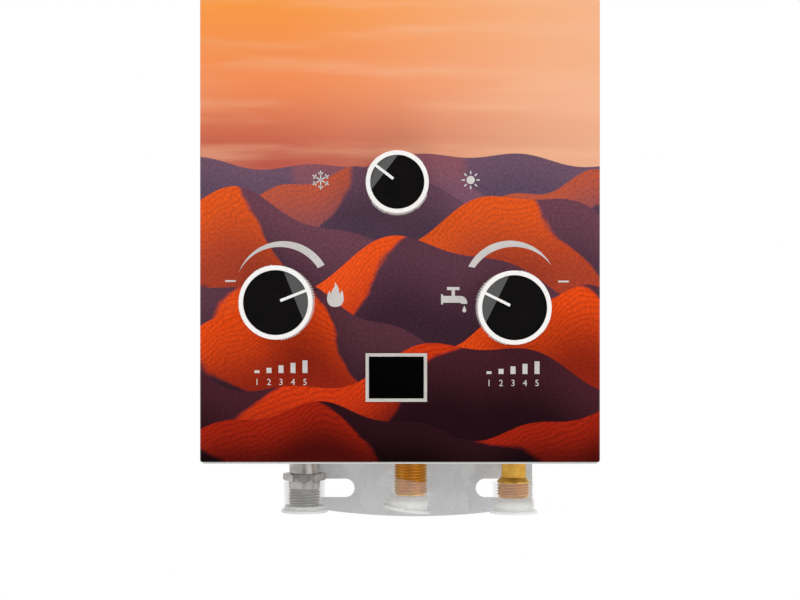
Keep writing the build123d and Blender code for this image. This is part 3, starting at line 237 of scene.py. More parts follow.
# brass from the lathe: fine tool rings, bright yellow; painted light brightens the thread roots, standing in for light
# bounced in the grooves
turnedBrass = grainFinish("CW614N brass turned", dict(
    tones=("#bd882f", "#d6aa4d"), grainMm=0.4, patchMm=7, rough=(0.26, 0.38), reliefMm=0.005, metal=0.85,
    paintedRootShading="#efb45c", stretch=(0.1, 0.1, 1)))
# zinc die casting: dull silver skin with flow marks
diecastZinc = grainFinish("zinc die casting", dict(
    tones=("#8e9092", "#a7a9aa"), grainMm=1.2, patchMm=22, rough=(0.42, 0.6), reliefMm=0.07, metal=1))
# drawn copper, brazed: brown bloom from heat
drawnCopper = grainFinish("drawn copper brazed", dict(
    tones=("#a35a3a", "#cf8560"), grainMm=1.6, patchMm=28, rough=(0.28, 0.48), reliefMm=0.03, metal=1))
# stainless strip, pressed: long fine brush lines
pressedStainless = grainFinish("430 stainless pressed", dict(
    tones=("#8c8c8b", "#a4a4a2"), grainMm=0.8, patchMm=18, rough=(0.28, 0.44), reliefMm=0.02, metal=1,
    stretch=(0.08, 1, 1)))
# nitrile rubber, moulded: black, dry
nitrile = grainFinish("nitrile rubber moulded", dict(
    tones=("#141414", "#202020"), grainMm=0.5, patchMm=8, rough=(0.6, 0.8), reliefMm=0.04))
# steatite, glazed: off white, wet gloss
glazedSteatite = grainFinish("glazed steatite", dict(
    tones=("#e0dacb", "#ebe6da"), grainMm=1.5, patchMm=6, rough=(0.14, 0.24), reliefMm=0.02))
# silicone sheath: soft brick red
siliconeSheath = grainFinish("silicone sheath extruded", dict(
    tones=("#8a2117", "#9d2b1f"), grainMm=0.6, patchMm=12, rough=(0.45, 0.6), reliefMm=0.02))
# shrink sleeve on a cell: dark grey-blue film
cellSleeve = grainFinish("PVC sleeve shrunk on", dict(
    tones=("#3a3f46", "#474d55"), grainMm=1, patchMm=30, rough=(0.25, 0.36), reliefMm=0.01))
# solder mask on FR4: green, with the weave showing through
solderMask = grainFinish("solder mask on FR4", dict(
    tones=("#12502a", "#1d6b38"), grainMm=0.9, patchMm=7, rough=(0.3, 0.45), reliefMm=0.04, stretch=(1, 1, 0.4)))
# screen ink on glass: flat pale grey film
screenInk = grainFinish("screen ink pale grey", dict(
    tones=("#c6c1be", "#d0ccc9"), grainMm=0.4, patchMm=6, rough=(0.38, 0.5), reliefMm=0.004, bump=0.2))
print("plain finishes")

# low-density polythene, moulded thin: milky and see-through, denser at the thick closed end
def mouldedPolythene(name, look):
    material, tree = startMaterial(name)
    place = addNode(tree, "ShaderNodeTexCoord")
    flow = addNode(tree, "ShaderNodeTexNoise", values={"Scale": scaleFor(look["flowMm"]), "Detail": 2},
                   links={"Vector": place.outputs["Object"]})
    tone = addNode(tree, "ShaderNodeMix", rgba,
                   {"A": linear(look["tones"][0]), "B": linear(look["tones"][1])}, {"Factor": flow.outputs[0]})
    height = addNode(tree, "ShaderNodeSeparateXYZ", links={0: place.outputs["Generated"]})
    dense = addNode(tree, "ShaderNodeMapRange", softStep,
                    {"From Min": look["thickTo"], "From Max": look["thinFrom"],
                     "To Min": look["base"], "To Max": look["wall"]}, {"Value": height.outputs["Z"]})
    gloss = addNode(tree, "ShaderNodeMapRange", values={"To Min": 0.14, "To Max": 0.26},
                    links={"Value": flow.outputs[0]})
    relief = addNode(tree, "ShaderNodeBump", values={"Strength": 0.2, "Distance": 0.03 * mm},
                     links={"Height": flow.outputs[0]})
    shader = addNode(tree, "ShaderNodeBsdfPrincipled", values={"IOR": 1.51},
                     links={"Base Color": tone.outputs["Result"], "Roughness": gloss.outputs[0],
                            "Alpha": dense.outputs[0], "Normal": relief.outputs[0]})
    addNode(tree, "ShaderNodeOutputMaterial", links={"Surface": shader.outputs[0]})
    return material


polytheneTones = ("#f6f7f6", "#fdfdfc")
polythene = mouldedPolythene("LDPE moulded natural", dict(
    tones=polytheneTones, wall=0.09, base=0.65, thickTo=0.22, thinFrom=0.5, flowMm=6))
# the same with a thin closed end, so that the thread shows almost to the bottom
thinPolythene = mouldedPolythene("LDPE moulded natural thin", dict(
    tones=polytheneTones, wall=0.15, base=0.75, thickTo=0.16, thinFrom=0.25, flowMm=6))


# hot-dip zinc on sheet steel: crystal spangle in flat grey facets, silvery, with fine rolling streaks
def spangledZinc(name, look):
    material, tree = startMaterial(name)
    place = addNode(tree, "ShaderNodeTexCoord")
    crystal = addNode(tree, "ShaderNodeTexVoronoi", values={"Scale": scaleFor(look["cellMm"])},
                      links={"Vector": place.outputs["Object"]})
    crystalTone = addNode(tree, "ShaderNodeSeparateColor", links={"Color": crystal.outputs["Color"]})
    streak = addNode(tree, "ShaderNodeTexNoise", values={"Scale": scaleFor(look["streakMm"]), "Detail": 4},
                     links={"Vector": place.outputs["Object"]})
    blended = addNode(tree, "ShaderNodeMath", multiplyAdd, {1: look["contrast"]},
                      {0: crystalTone.outputs[0], 2: streak.outputs[0]})
    tone = addNode(tree, "ShaderNodeMix", rgba, {"A": linear(look["tones"][0]), "B": linear(look["tones"][1])},
                   {"Factor": blended.outputs[0]})
    gloss = addNode(tree, "ShaderNodeMapRange", values={"To Min": look["rough"][0], "To Max": look["rough"][1]},
                    links={"Value": blended.outputs[0]})
    relief = addNode(tree, "ShaderNodeBump", values={"Strength": 0.2, "Distance": 0.03 * mm},
                     links={"Height": streak.outputs[0]})
    shader = addNode(tree, "ShaderNodeBsdfPrincipled", values={"Metallic": look["metal"]},
                     links={"Base Color": tone.outputs["Result"], "Roughness": gloss.outputs[0],
                            "Normal": relief.outputs[0]})
    addNode(tree, "ShaderNodeOutputMaterial", links={"Surface": shader.outputs[0]})
    return material


# skin-passed sheet of the back plate: bright, spangle rolled nearly flat
zincSheet = spangledZinc("hot-dip zinc on sheet steel, skin-passed", dict(
    cellMm=9, streakMm=1.5, contrast=0.4, tones=("#cbccd0", "#e2e3e4"), rough=(0.34, 0.46), metal=0.7))
# open spangle of the flue parts: darker, more broken up
flueZinc = spangledZinc("hot-dip zinc on sheet steel, open spangle", dict(
    cellMm=7, streakMm=1.5, contrast=0.7, tones=("#9a9ca0", "#c4c6c9"), rough=(0.28, 0.5), metal=0.9))
# bright zinc plate on screws: bluish white, smooth
screwZinc = grainFinish("electroplated zinc on screws", dict(
    tones=("#9fa3aa", "#bcc0c6"), grainMm=0.8, patchMm=5, rough=(0.25, 0.38), reliefMm=0.01, metal=1))

# toughened float glass with a ceramic print behind it: a dune landscape of my own at dusk.
# Rows run from the far haze to the foreground: crest height, swing and length of the waves in mm,
# lean of the spines, the lit and shaded colours at the crest and at the foot, and the depth of the slope.
dunes = dict(
    skyLow=172, skyHigh=380, horizon="#b9564a", skyMid="#f08a5c", skyTop="#fda136", skyPale="#f7bd97",
    cloudMm=(150, 16), rippleMm=3.4, rippleSlant=0.3, rippleStray=16, edgeMm=0.5, wanderMm=22, wander=14,
    sandMm=1.6, windTurn=0.11, wind=7, paneEdge="#d3dbd6", swirlMm=45,
    rows=[
        dict(crest=181, swing=4, length=210, start=0.3, swing2=2, length2=64, lean=0.5, depth=24,
             lit=("#8d5560", "#7c5568"), shade=("#705366", "#5f4a5e")),
        dict(crest=166, swing=9, length=158, start=2.6, swing2=3, length2=47, lean=-0.9, depth=34,
             lit=("#c2583c", "#8b4f55"), shade=("#6c4a5c", "#4f3a4b")),
        dict(crest=147, swing=15, length=176, start=5.2, swing2=4, length2=70, lean=1.2, depth=48,
             lit=("#e8591c", "#a8402a"), shade=("#6d4350", "#4a303f")),
        dict(crest=117, swing=17, length=203, start=1.2, swing2=5, length2=83, lean=-1.3, depth=52,
             lit=("#f4561a", "#b5321a"), shade=("#5f3a48", "#3c2430")),
        dict(crest=88, swing=16, length=166, start=3.9, swing2=4, length2=58, lean=1.1, depth=50,
             lit=("#ee4d12", "#8e2412"), shade=("#57313c", "#331b25")),
        dict(crest=57, swing=15, length=221, start=0.4, swing2=4, length2=75, lean=-1.5, depth=44,
             lit=("#d63a10", "#671410"), shade=("#472029", "#230d14")),
        dict(crest=25, swing=9, length=190, start=3.2, swing2=3, length2=62, lean=1.4, depth=30,
             lit=("#a3220e", "#4a0c08"), shade=("#2c1118", "#0c0305")),
    ])

printedGlass, tree = startMaterial("toughened float glass, ceramic print behind")
place = addNode(tree, "ShaderNodeTexCoord")
inMm = addNode(tree, "ShaderNodeVectorMath", {"operation": "SCALE"}, {"Scale": 1000}, {0: place.outputs["Object"]})
where = addNode(tree, "ShaderNodeSeparateXYZ", links={0: inMm.outputs[0]})
across, up = where.outputs["X"], where.outputs["Z"]

# sky: warm gradient, paler to the right, long thin cloud bands
rise = addNode(tree, "ShaderNodeMapRange", values={"From Min": dunes["skyLow"], "From Max": dunes["skyHigh"]},
               links={"Value": up})
nearLand = addNode(tree, "ShaderNodeMapRange", softStep, {"From Max": 0.3},
                   {"Value": rise.outputs[0]})
overhead = addNode(tree, "ShaderNodeMapRange", softStep,
                   {"From Min": 0.12, "From Max": 0.75}, {"Value": rise.outputs[0]})
eastward = addNode(tree, "ShaderNodeMapRange", softStep,
                   {"From Min": -90, "From Max": 150, "To Max": 0.8}, {"Value": across})
bandPlace = addNode(tree, "ShaderNodeMapping", {"vector_type": "POINT"},
                    {"Scale": (1 / dunes["cloudMm"][0], 1, 1 / dunes["cloudMm"][1]), "Rotation": (0, 0.05, 0)},
                    {"Vector": inMm.outputs[0]})
band = addNode(tree, "ShaderNodeTexNoise", values={"Scale": 1.0, "Detail": 4, "Roughness": 0.45},
               links={"Vector": bandPlace.outputs[0]})
bandLift = addNode(tree, "ShaderNodeMapRange", softStep,
                   {"From Min": 0.45, "From Max": 0.72, "To Max": 0.5}, {"Value": band.outputs[0]})
colour = addNode(tree, "ShaderNodeMix", rgba,
                 {"A": linear(dunes["horizon"]), "B": linear(dunes["skyMid"])}, {"Factor": nearLand.outputs[0]})
colour = addNode(tree, "ShaderNodeMix", rgba, {"B": linear(dunes["skyTop"])},
                 {"Factor": overhead.outputs[0], "A": colour.outputs["Result"]})
colour = addNode(tree, "ShaderNodeMix", rgba, {"B": linear(dunes["skyPale"])},
                 {"Factor": eastward.outputs[0], "A": colour.outputs["Result"]})
colour = addNode(tree, "ShaderNodeMix", rgba, {"B": linear(dunes["skyPale"])},
                 {"Factor": bandLift.outputs[0], "A": colour.outputs["Result"]})

wander = addNode(tree, "ShaderNodeTexNoise", values={"Scale": 1 / dunes["wanderMm"], "Detail": 3},
                 links={"Vector": inMm.outputs[0]})
sand = addNode(tree, "ShaderNodeTexNoise", values={"Scale": 1 / dunes["sandMm"], "Detail": 3},
               links={"Vector": inMm.outputs[0]})
speck = addNode(tree, "ShaderNodeMapRange", values={"From Min": 0.35, "From Max": 0.7, "To Min": 0.82, "To Max": 1.12},
                links={"Value": sand.outputs[0]})
for row in dunes["rows"]:
    turn, turn2 = wholeTurn / row["length"], wholeTurn / row["length2"]
    angle = addNode(tree, "ShaderNodeMath", multiplyAdd, {1: turn, 2: row["start"]}, {0: across})
    wave = addNode(tree, "ShaderNodeMath", sine, links={0: angle.outputs[0]})
    angle2 = addNode(tree, "ShaderNodeMath", multiplyAdd, {1: turn2, 2: row["start"] * 2},
                     {0: across})
    wave2 = addNode(tree, "ShaderNodeMath", sine, links={0: angle2.outputs[0]})
    crest = addNode(tree, "ShaderNodeMath", multiplyAdd, {1: row["swing2"], 2: row["crest"]},
                    {0: wave2.outputs[0]})
    crest = addNode(tree, "ShaderNodeMath", multiplyAdd, {1: row["swing"]},
                    {0: wave.outputs[0], 2: crest.outputs[0]})
    below = addNode(tree, "ShaderNodeMath", {"operation": "SUBTRACT"}, links={0: crest.outputs[0], 1: up})
    inside = addNode(tree, "ShaderNodeMapRange", values={"From Max": dunes["edgeMm"]},
                     links={"Value": below.outputs[0]})
    foot = addNode(tree, "ShaderNodeMapRange", softStep, {"From Max": row["depth"]},
                   {"Value": below.outputs[0]})
    # the spine runs down from each crest, leaning and winding
    wind = addNode(tree, "ShaderNodeMath", multiplyAdd, {1: dunes["windTurn"], 2: row["start"]},
                   {0: below.outputs[0]})
    wind = addNode(tree, "ShaderNodeMath", sine, links={0: wind.outputs[0]})
    lean = addNode(tree, "ShaderNodeMath", multiplyAdd, {1: -row["lean"]},
                   {0: below.outputs[0], 2: across})
    lean = addNode(tree, "ShaderNodeMath", multiplyAdd, {1: dunes["wind"]},
                   {0: wind.outputs[0], 2: lean.outputs[0]})
    lean = addNode(tree, "ShaderNodeMath", multiplyAdd, {1: dunes["wander"]},
                   {0: wander.outputs[0], 2: lean.outputs[0]})
    flank = addNode(tree, "ShaderNodeMath", multiplyAdd, {1: turn, 2: row["start"] - dunes["wind"] * turn},
                    {0: lean.outputs[0]})
    flank = addNode(tree, "ShaderNodeMath", {"operation": "COSINE"}, links={0: flank.outputs[0]})
    dark = addNode(tree, "ShaderNodeMapRange", softStep,
                   {"From Min": 0.12, "From Max": -0.06}, {"Value": flank.outputs[0]})
    # wind ripples across the lit side
    comb = addNode(tree, "ShaderNodeMath", multiplyAdd, {1: dunes["rippleSlant"]},
                   {0: across, 2: below.outputs[0]})
    comb = addNode(tree, "ShaderNodeMath", multiplyAdd, {1: dunes["rippleStray"]},
                   {0: wander.outputs[0], 2: comb.outputs[0]})
    comb = addNode(tree, "ShaderNodeMath", {"operation": "MULTIPLY"}, {1: wholeTurn / dunes["rippleMm"]},
                   {0: comb.outputs[0]})
    comb = addNode(tree, "ShaderNodeMath", sine, links={0: comb.outputs[0]})
    furrow = addNode(tree, "ShaderNodeMapRange", values={"From Min": -0.2, "From Max": 1, "To Max": 0.3},
                     links={"Value": comb.outputs[0]})
    litSide = addNode(tree, "ShaderNodeMix", rgba,
                      {"A": linear(row["lit"][0]), "B": linear(row["lit"][1])}, {"Factor": foot.outputs[0]})
    litSide = addNode(tree, "ShaderNodeMix", rgba, {"B": linear(row["lit"][1])},
                      {"Factor": furrow.outputs[0], "A": litSide.outputs["Result"]})
    darkSide = addNode(tree, "ShaderNodeMix", rgba,
                       {"A": linear(row["shade"][0]), "B": linear(row["shade"][1])}, {"Factor": foot.outputs[0]})
    slope = addNode(tree, "ShaderNodeMix", rgba,
                    links={"Factor": dark.outputs[0], "A": litSide.outputs["Result"], "B": darkSide.outputs["Result"]})
    slope = addNode(tree, "ShaderNodeMix", {"data_type": "RGBA", "blend_type": "MULTIPLY"}, {"Factor": 1.0},
                    {"A": slope.outputs["Result"], "B": speck.outputs[0]})
    colour = addNode(tree, "ShaderNodeMix", rgba,
                     links={"Factor": inside.outputs[0], "A": colour.outputs["Result"], "B": slope.outputs["Result"]})

# the bare polished edge of the pane
surface = addNode(tree, "ShaderNodeNewGeometry")
outward = addNode(tree, "ShaderNodeSeparateXYZ", links={0: surface.outputs["True Normal"]})
edge = addNode(tree, "ShaderNodeMath", {"operation": "GREATER_THAN"}, {1: -0.4}, {0: outward.outputs["Y"]})
colour = addNode(tree, "ShaderNodeMix", rgba, {"B": linear(dunes["paneEdge"])},
                 {"Factor": edge.outputs[0], "A": colour.outputs["Result"]})
swirl = addNode(tree, "ShaderNodeTexNoise", values={"Scale": scaleFor(dunes["swirlMm"]), "Detail": 1},
                links={"Vector": place.outputs["Object"]})
gloss = addNode(tree, "ShaderNodeMapRange", values={"To Min": 0.05, "To Max": 0.11},
                links={"Value": swirl.outputs[0]})
relief = addNode(tree, "ShaderNodeBump", values={"Strength": 0.1, "Distance": 0.05 * mm},
                 links={"Height": swirl.outputs[0]})
shader = addNode(tree, "ShaderNodeBsdfPrincipled", values={"IOR": 1.52},
                 links={"Base Color": colour.outputs["Result"], "Roughness": gloss.outputs[0],
                        "Normal": relief.outputs[0]})
addNode(tree, "ShaderNodeOutputMaterial", links={"Surface": shader.outputs[0]})
print("printed glass")

# finishes of the CAD nodes
nodeFinish = {
    "casing": powderCoat, "bottom_plate": powderCoat, "glass_panel": printedGlass, "display_bezel": silverAbs,
    "display_window": smokedPmma, "led_display": moduleResin, "display_board": solderMask,
    "electrodes": glazedSteatite, "ignition_lead": siliconeSheath, "d_cells": cellSleeve,
    "hot_outlet_fitting": nickelPlate}
for finish, names in (
        (zincSheet, "back_plate chamber_brackets valve_brackets"),
        (flueZinc, "flue_collar flue_hood"),
        (screwZinc, "sheet_screws"),
        (knobAbs, "season_knob gas_knob water_knob"),
        (discAcrylic, "season_knob_disc gas_knob_disc water_knob_disc"),
        (turnedBrass, "season_spindle gas_spindle water_spindle gas_inlet_fitting cold_inlet_fitting injectors "
                      "push_rod gland_plates water_valve_body water_valve_cover"),
        (diecastZinc, "gas_valve_body season_valve_body gas_manifold gas_riser"),
        (drawnCopper, "jacket_coil exchanger_tubes exchanger_fins combustion_chamber hot_pipe"),
        (pressedStainless, "burner_frame burner_blades gas_valve_spring solenoid_coil solenoid_plunger "
                           "battery_contacts lid_contact microswitch_lever overheat_thermostat"),
        (nitrile, "diaphragm gas_valve_disc"),
        (sparkAbs, "control_box battery_box battery_lid microswitch"),
        (polythene, "gas_cap cold_cap"),
        (thinPolythene, "hot_cap")):
    for name in names.split():
        nodeFinish[name] = finish
for name, finish in nodeFinish.items():
    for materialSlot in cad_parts[name].material_slots:
        materialSlot.material = finish
print("finishes on", len(nodeFinish), "nodes; left:", sorted(set(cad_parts) - set(nodeFinish)))


# a mesh becomes a piece that rides on a body
def makePiece(name, mesh, finish, body, sharpDegrees=32):
    data = bpy.data.meshes.new(name)
    bmesh.ops.recalc_face_normals(mesh, faces=mesh.faces)
    mesh.to_mesh(data)
    mesh.free()
    data.materials.append(finish)
    data.shade_smooth()
    data.set_sharp_from_angle(angle=math.radians(sharpDegrees))
    piece = bpy.data.objects.new(name, data)
    bpy.context.collection.objects.link(piece)
    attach(piece, body)
    return piece


# screen-printed marks on the glass, sizes in mm on its face; a film 0.05 mm thick, drawn at 0.12 so that it shows
marks = dict(
    faceY=-112.0, film=0.12,
    arcs=[((-96.6, 114.2), (-69.2, 132.7), (-45.3, 118.5), (-71.2, 129.2), (-49.3, 116.5)),
          ((90.7, 118.3), (67.0, 133.0), (41.0, 117.4), (68.9, 129.3), (44.8, 116.8))],
    flame=((-38.8, 100.7), 15.0), tap=((32.8, 97.8), 17.0), flake=((-47.6, 169.4), 5.6), sun=((42.4, 169.4), 5.4),
    minus=((-101.7, 108.8), (98.1, 108.5)), minusLength=6.4, minusWidth=1.1, flakeArm=0.75, flakeTwig=0.65,
    twigPlace=0.58, twigLength=0.34, twigTurn=0.9, sunRay=0.8, bars=((-71.4, 55.6), (67.8, 55.0)), barStep=7.2,
    barFirst=1.6, barRise=1.5, barWidth=3.0, figureSize=5.4, figureDrop=9.2)


# points on the circle through three points, from the first to the last
def arcThrough(first, middle, last, count=40):
    (ax, ay), (bx, by), (cx, cy) = first, middle, last
    d = 2 * (ax * (by - cy) + bx * (cy - ay) + cx * (ay - by))
    ux = ((ax * ax + ay * ay) * (by - cy) + (bx * bx + by * by) * (cy - ay) + (cx * cx + cy * cy) * (ay - by)) / d
    uy = ((ax * ax + ay * ay) * (cx - bx) + (bx * bx + by * by) * (ax - cx) + (cx * cx + cy * cy) * (bx - ax)) / d
    radius = math.hypot(ax - ux, ay - uy)
    start, end = math.atan2(ay - uy, ax - ux), math.atan2(cy - uy, cx - ux)
    sweep = (end - start + math.pi) % wholeTurn - math.pi
    return [(ux + radius * math.cos(start + sweep * i / count), uy + radius * math.sin(start + sweep * i / count))
            for i in range(count + 1)]


# each group is an outline and its holes; all groups make one mark
def flatMark(name, groups):
    mesh = bmesh.new()
    for loops in groups:
        edges = []
        for loop in loops:
            corners = [mesh.verts.new((x * mm, (marks["faceY"] - marks["film"]) * mm, z * mm)) for x, z in loop]
            edges += [mesh.edges.new((corners[i - 1], corners[i])) for i in range(len(corners))]
        filled = bmesh.ops.triangle_fill(mesh, use_beauty=True, use_dissolve=False, edges=edges)
        faces = [f for f in filled["geom"] if isinstance(f, bmesh.types.BMFace)]
        back = bmesh.ops.extrude_face_region(mesh, geom=faces, use_keep_orig=True)
        moved = [v for v in back["geom"] if isinstance(v, bmesh.types.BMVert)]
        bmesh.ops.translate(mesh, verts=moved, vec=(0, marks["film"] * mm, 0))
    return makePiece(name, mesh, screenInk, "heater")


def bar(x, z, angle, length, width, start=0):
    along, side = (math.cos(angle), math.sin(angle)), (-math.sin(angle), math.cos(angle))
    return [[(x + along[0] * s + side[0] * t, z + along[1] * s + side[1] * t)
             for s, t in ((start, -width / 2), (length, -width / 2), (length, width / 2), (start, width / 2))]]


def ringOf(x, z, radius, count=32):
    return [(x + radius * math.cos(wholeTurn * i / count), z + radius * math.sin(wholeTurn * i / count))
            for i in range(count)]


# a drop standing on its round end
def drop(x, z, width, height, count=40):
    points = []
    for i in range(count):
        a = wholeTurn * i / count
        pull = (1 - math.cos(a)) / 2
        points.append((x + width / 2 * math.sin(a) * (1 - pull) ** 0.8 * 1.3, z - height / 2 + height * pull))
    return points


for number, (tip, outerTop, outerEnd, innerTop, innerEnd) in enumerate(marks["arcs"]):
    outline = arcThrough(tip, outerTop, outerEnd) + arcThrough(innerEnd, innerTop, tip)[:-1]
    flatMark(f"level_arc_{number + 1}", [[outline]])
(x, z), size = marks["flame"]
flame = [(0, -0.5), (0.13, -0.48), (0.24, -0.42), (0.31, -0.31), (0.335, -0.17), (0.325, -0.04), (0.3, 0.08),
         (0.26, 0.2), (0.225, 0.09), (0.185, 0.03), (0.155, 0.08), (0.15, 0.17), (0.12, 0.28), (0.06, 0.39),
         (-0.02, 0.5), (-0.015, 0.38), (-0.05, 0.28), (-0.11, 0.19), (-0.155, 0.1), (-0.175, 0.03), (-0.21, 0.08),
         (-0.225, 0.16), (-0.285, 0.06), (-0.325, -0.06), (-0.335, -0.19), (-0.305, -0.32), (-0.23, -0.43),
         (-0.12, -0.485)]
flatMark("flame_mark", [[[(x + u * size, z + v * size) for u, v in flame]]])
(x, z), size = marks["tap"]
flatMark("tap_mark", [
    bar(x - size * 0.41, z, 0, size * 0.61, size * 0.24),
    bar(x - size * 0.05, z + size * 0.12, math.pi / 2, size * 0.205, size * 0.12),
    bar(x - size * 0.27, z + size * 0.38, 0, size * 0.44, size * 0.11),
    [[(x + size * 0.2, z + size * 0.12)]
     + arcThrough((x + size * 0.2, z + size * 0.12), (x + size * 0.37, z + size * 0.05),
                  (x + size * 0.44, z - size * 0.16), 12)[1:]
     + [(x + size * 0.24, z - size * 0.16), (x + size * 0.2, z - size * 0.12)]],
    bar(x - size * 0.48, z, 0, size * 0.07, size * 0.36),
    [drop(x + size * 0.34, z - size * 0.34, size * 0.15, size * 0.24)]])
(x, z), size = marks["flake"]
arms = [wholeTurn * i / 6 + math.pi / 6 for i in range(6)]
flatMark("snow_mark", [bar(x, z, arm, size, marks["flakeArm"], 0.3) for arm in arms] + [
    bar(x + size * marks["twigPlace"] * math.cos(arm), z + size * marks["twigPlace"] * math.sin(arm), arm + turn,
        size * marks["twigLength"], marks["flakeTwig"])
    for arm in arms for turn in (marks["twigTurn"], -marks["twigTurn"])])
(x, z), size = marks["sun"]
flatMark("sun_mark", [[ringOf(x, z, size * 0.46)]] + [
    bar(x, z, wholeTurn * i / 8, size, marks["sunRay"], size * 0.64) for i in range(8)])
for number, (x, z) in enumerate(marks["minus"]):
    flatMark(f"least_mark_{number + 1}", [
        bar(x - marks["minusLength"] / 2, z, 0, marks["minusLength"], marks["minusWidth"])])
for number, (x, z) in enumerate(marks["bars"]):
    flatMark(f"level_bars_{number + 1}", [
        bar(x + (i - 2) * marks["barStep"], z - 2, math.pi / 2, marks["barFirst"] + marks["barRise"] * i,
            marks["barWidth"]) for i in range(5)])
    figures = bpy.data.curves.new(f"level_figures_{number + 1}", "FONT")
    figures.body = "1   2   3   4   5"
    figures.align_x = "CENTER"
    figures.size = marks["figureSize"] * mm
    figures.extrude = marks["film"] / 2 * mm
    figures.resolution_u = 4
    row = bpy.data.objects.new(f"level_figures_{number + 1}", figures)
    row.location = (x * mm, (marks["faceY"] - marks["film"] / 2) * mm, (z - marks["figureDrop"]) * mm)
    row.rotation_euler = (math.pi / 2, 0, 0)
    bpy.context.collection.objects.link(row)
    bpy.context.view_layer.update()
    solid = bpy.data.meshes.new_from_object(row.evaluated_get(bpy.context.evaluated_depsgraph_get()))
    solid.transform(row.matrix_world)
    bpy.data.objects.remove(row)
    mesh = bmesh.new()
    mesh.from_mesh(solid)
    makePiece(f"level_digits_{number + 1}", mesh, screenInk, "heater")
print("printed marks")

# pipe connections: lathe-cut helical threads, chamfered hexagons, real bores (sizes in mm).
# Rows run from the lower inner edge round the outline: height and radius, a thread's two heights,
# or a hexagon's two heights, half width and share of a sixth turn.
# shade sets how far up the flanks the painted root shading reaches
thread = dict(radius=10.4775, depth=1.16, pitch=1.814, steps=8, segments=96, flank=1.3, flat=0.15, shade=2.2)
hexagon = dict(faceLimit=1.07, cornerLimit=1.16, chamfer=0.5)
fittings = {
    "hot_outlet": dict(centre=(-61.65, -28.0), finish=nickelPlate, slot="plated_brass", rows=[
        ("round", -35.6, 7.0), ("round", -35.6, 8.9), ("thread", -35.3, -24.0), ("round", -24.0, 10.2),
        ("round", -18.8, 10.2), ("hex", -18.8, -14.3, 12.0, 0.5), ("round", -14.3, 9.8), ("round", -13.4, 9.8),
        ("round", 24.0, 9.8), ("round", 24.0, 5.2), ("round", 20.0, 5.2), ("round", 20.0, 7.0)]),
    "gas_inlet": dict(centre=(6.65, -62.0), finish=turnedBrass, slot="turned_brass", rows=[
        ("round", -24.9, 7.0), ("round", -24.9, 8.9), ("thread", -24.6, 12.0), ("round", 12.0, 9.0),
        ("round", 68.9, 9.0), ("round", 68.9, 7.0)]),
    "cold_inlet": dict(centre=(71.9, -50.0), finish=turnedBrass, slot="turned_brass", rows=[
        ("round", -27.7, 5.5), ("round", -27.7, 8.9), ("thread", -27.4, -17.6), ("round", -17.6, 10.4),
        ("round", -17.2, 10.4), ("round", -14.8, 8.1), ("hex", -14.8, 10.0, 7.5, 0), ("round", 10.0, 8.0),
        ("round", 68.9, 8.0), ("round", 68.9, 5.5)]),
}


# tooth height at this place on the helix: 0 at the root, 1 at the crest, with small flats
def toothAt(z, angle):
    share = (z / thread["pitch"] - angle / wholeTurn) % 1
    return min(1, max(0, (1 - abs(2 * share - 1)) * thread["flank"] - thread["flat"]))


def fittingRings(rows):
    rings = []
    angles = [wholeTurn * i / thread["segments"] for i in range(thread["segments"])]
    for row in rows:
        if row[0] == "round":
            rings.append((row[1], [row[2]] * len(angles), False))
        elif row[0] == "thread":
            low, high = row[1:]
            count = int((high - low) / thread["pitch"] * thread["steps"])
            for i in range(count + 1):
                z = low + (high - low) * i / count
                fade = min(1, (z - low) / thread["pitch"], (high - z) / thread["pitch"])
                root = thread["radius"] - thread["depth"]
                rings.append((z, [root + thread["depth"] * toothAt(z, a) * fade for a in angles], True))
        else:
            low, high, flat, offset = row[1:]
            side = math.pi / 3
            reach = [flat / math.cos((a + offset * side + side / 2) % side - side / 2) for a in angles]
            for z, limit in ((low, hexagon["faceLimit"]), (low + hexagon["chamfer"], hexagon["cornerLimit"]),
                             (high - hexagon["chamfer"], hexagon["cornerLimit"]), (high, hexagon["faceLimit"])):
                rings.append((z, [min(limit * flat, r) for r in reach], False))
    return angles, rings


for name, fitting in fittings.items():
    angles, rings = fittingRings(fitting["rows"])
    cx, cy = fitting["centre"]
    mesh = bmesh.new()
    paintedRootShading = mesh.verts.layers.float.new("paintedRootShading")
    root = thread["radius"] - thread["depth"]
    loops = [[mesh.verts.new(((cx + r * math.cos(a)) * mm, (cy + r * math.sin(a)) * mm, z * mm))
              for a, r in zip(angles, radii)] for z, radii, _ in rings]
    # painted root shading: each thread vertex stores how deep in the root it sits, used to paint shade or light into
    # the roots
    for loop, (z, radii, threaded) in zip(loops, rings):
        if threaded:
            for vert, r in zip(loop, radii):
                vert[paintedRootShading] = min(1, max(0, 1 - (r - root) / thread["depth"] * thread["shade"]))
    for lower, upper in zip(loops, loops[1:] + loops[:1]):
        for i in range(len(angles)):
            mesh.faces.new((lower[i - 1], lower[i], upper[i], upper[i - 1]))
    piece = makePiece(f"{name}_connection", mesh, fitting["finish"], "heater")
    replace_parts(piece, f"{name}_fitting")
print("pipe connections")

# rolled hem along the casing's lower front and side edges, just below the glass (mm)
hem = dict(halfWidth=118.8, front=-108.0, back=-3.0, low=-1.3, high=1.2, wall=1.0)

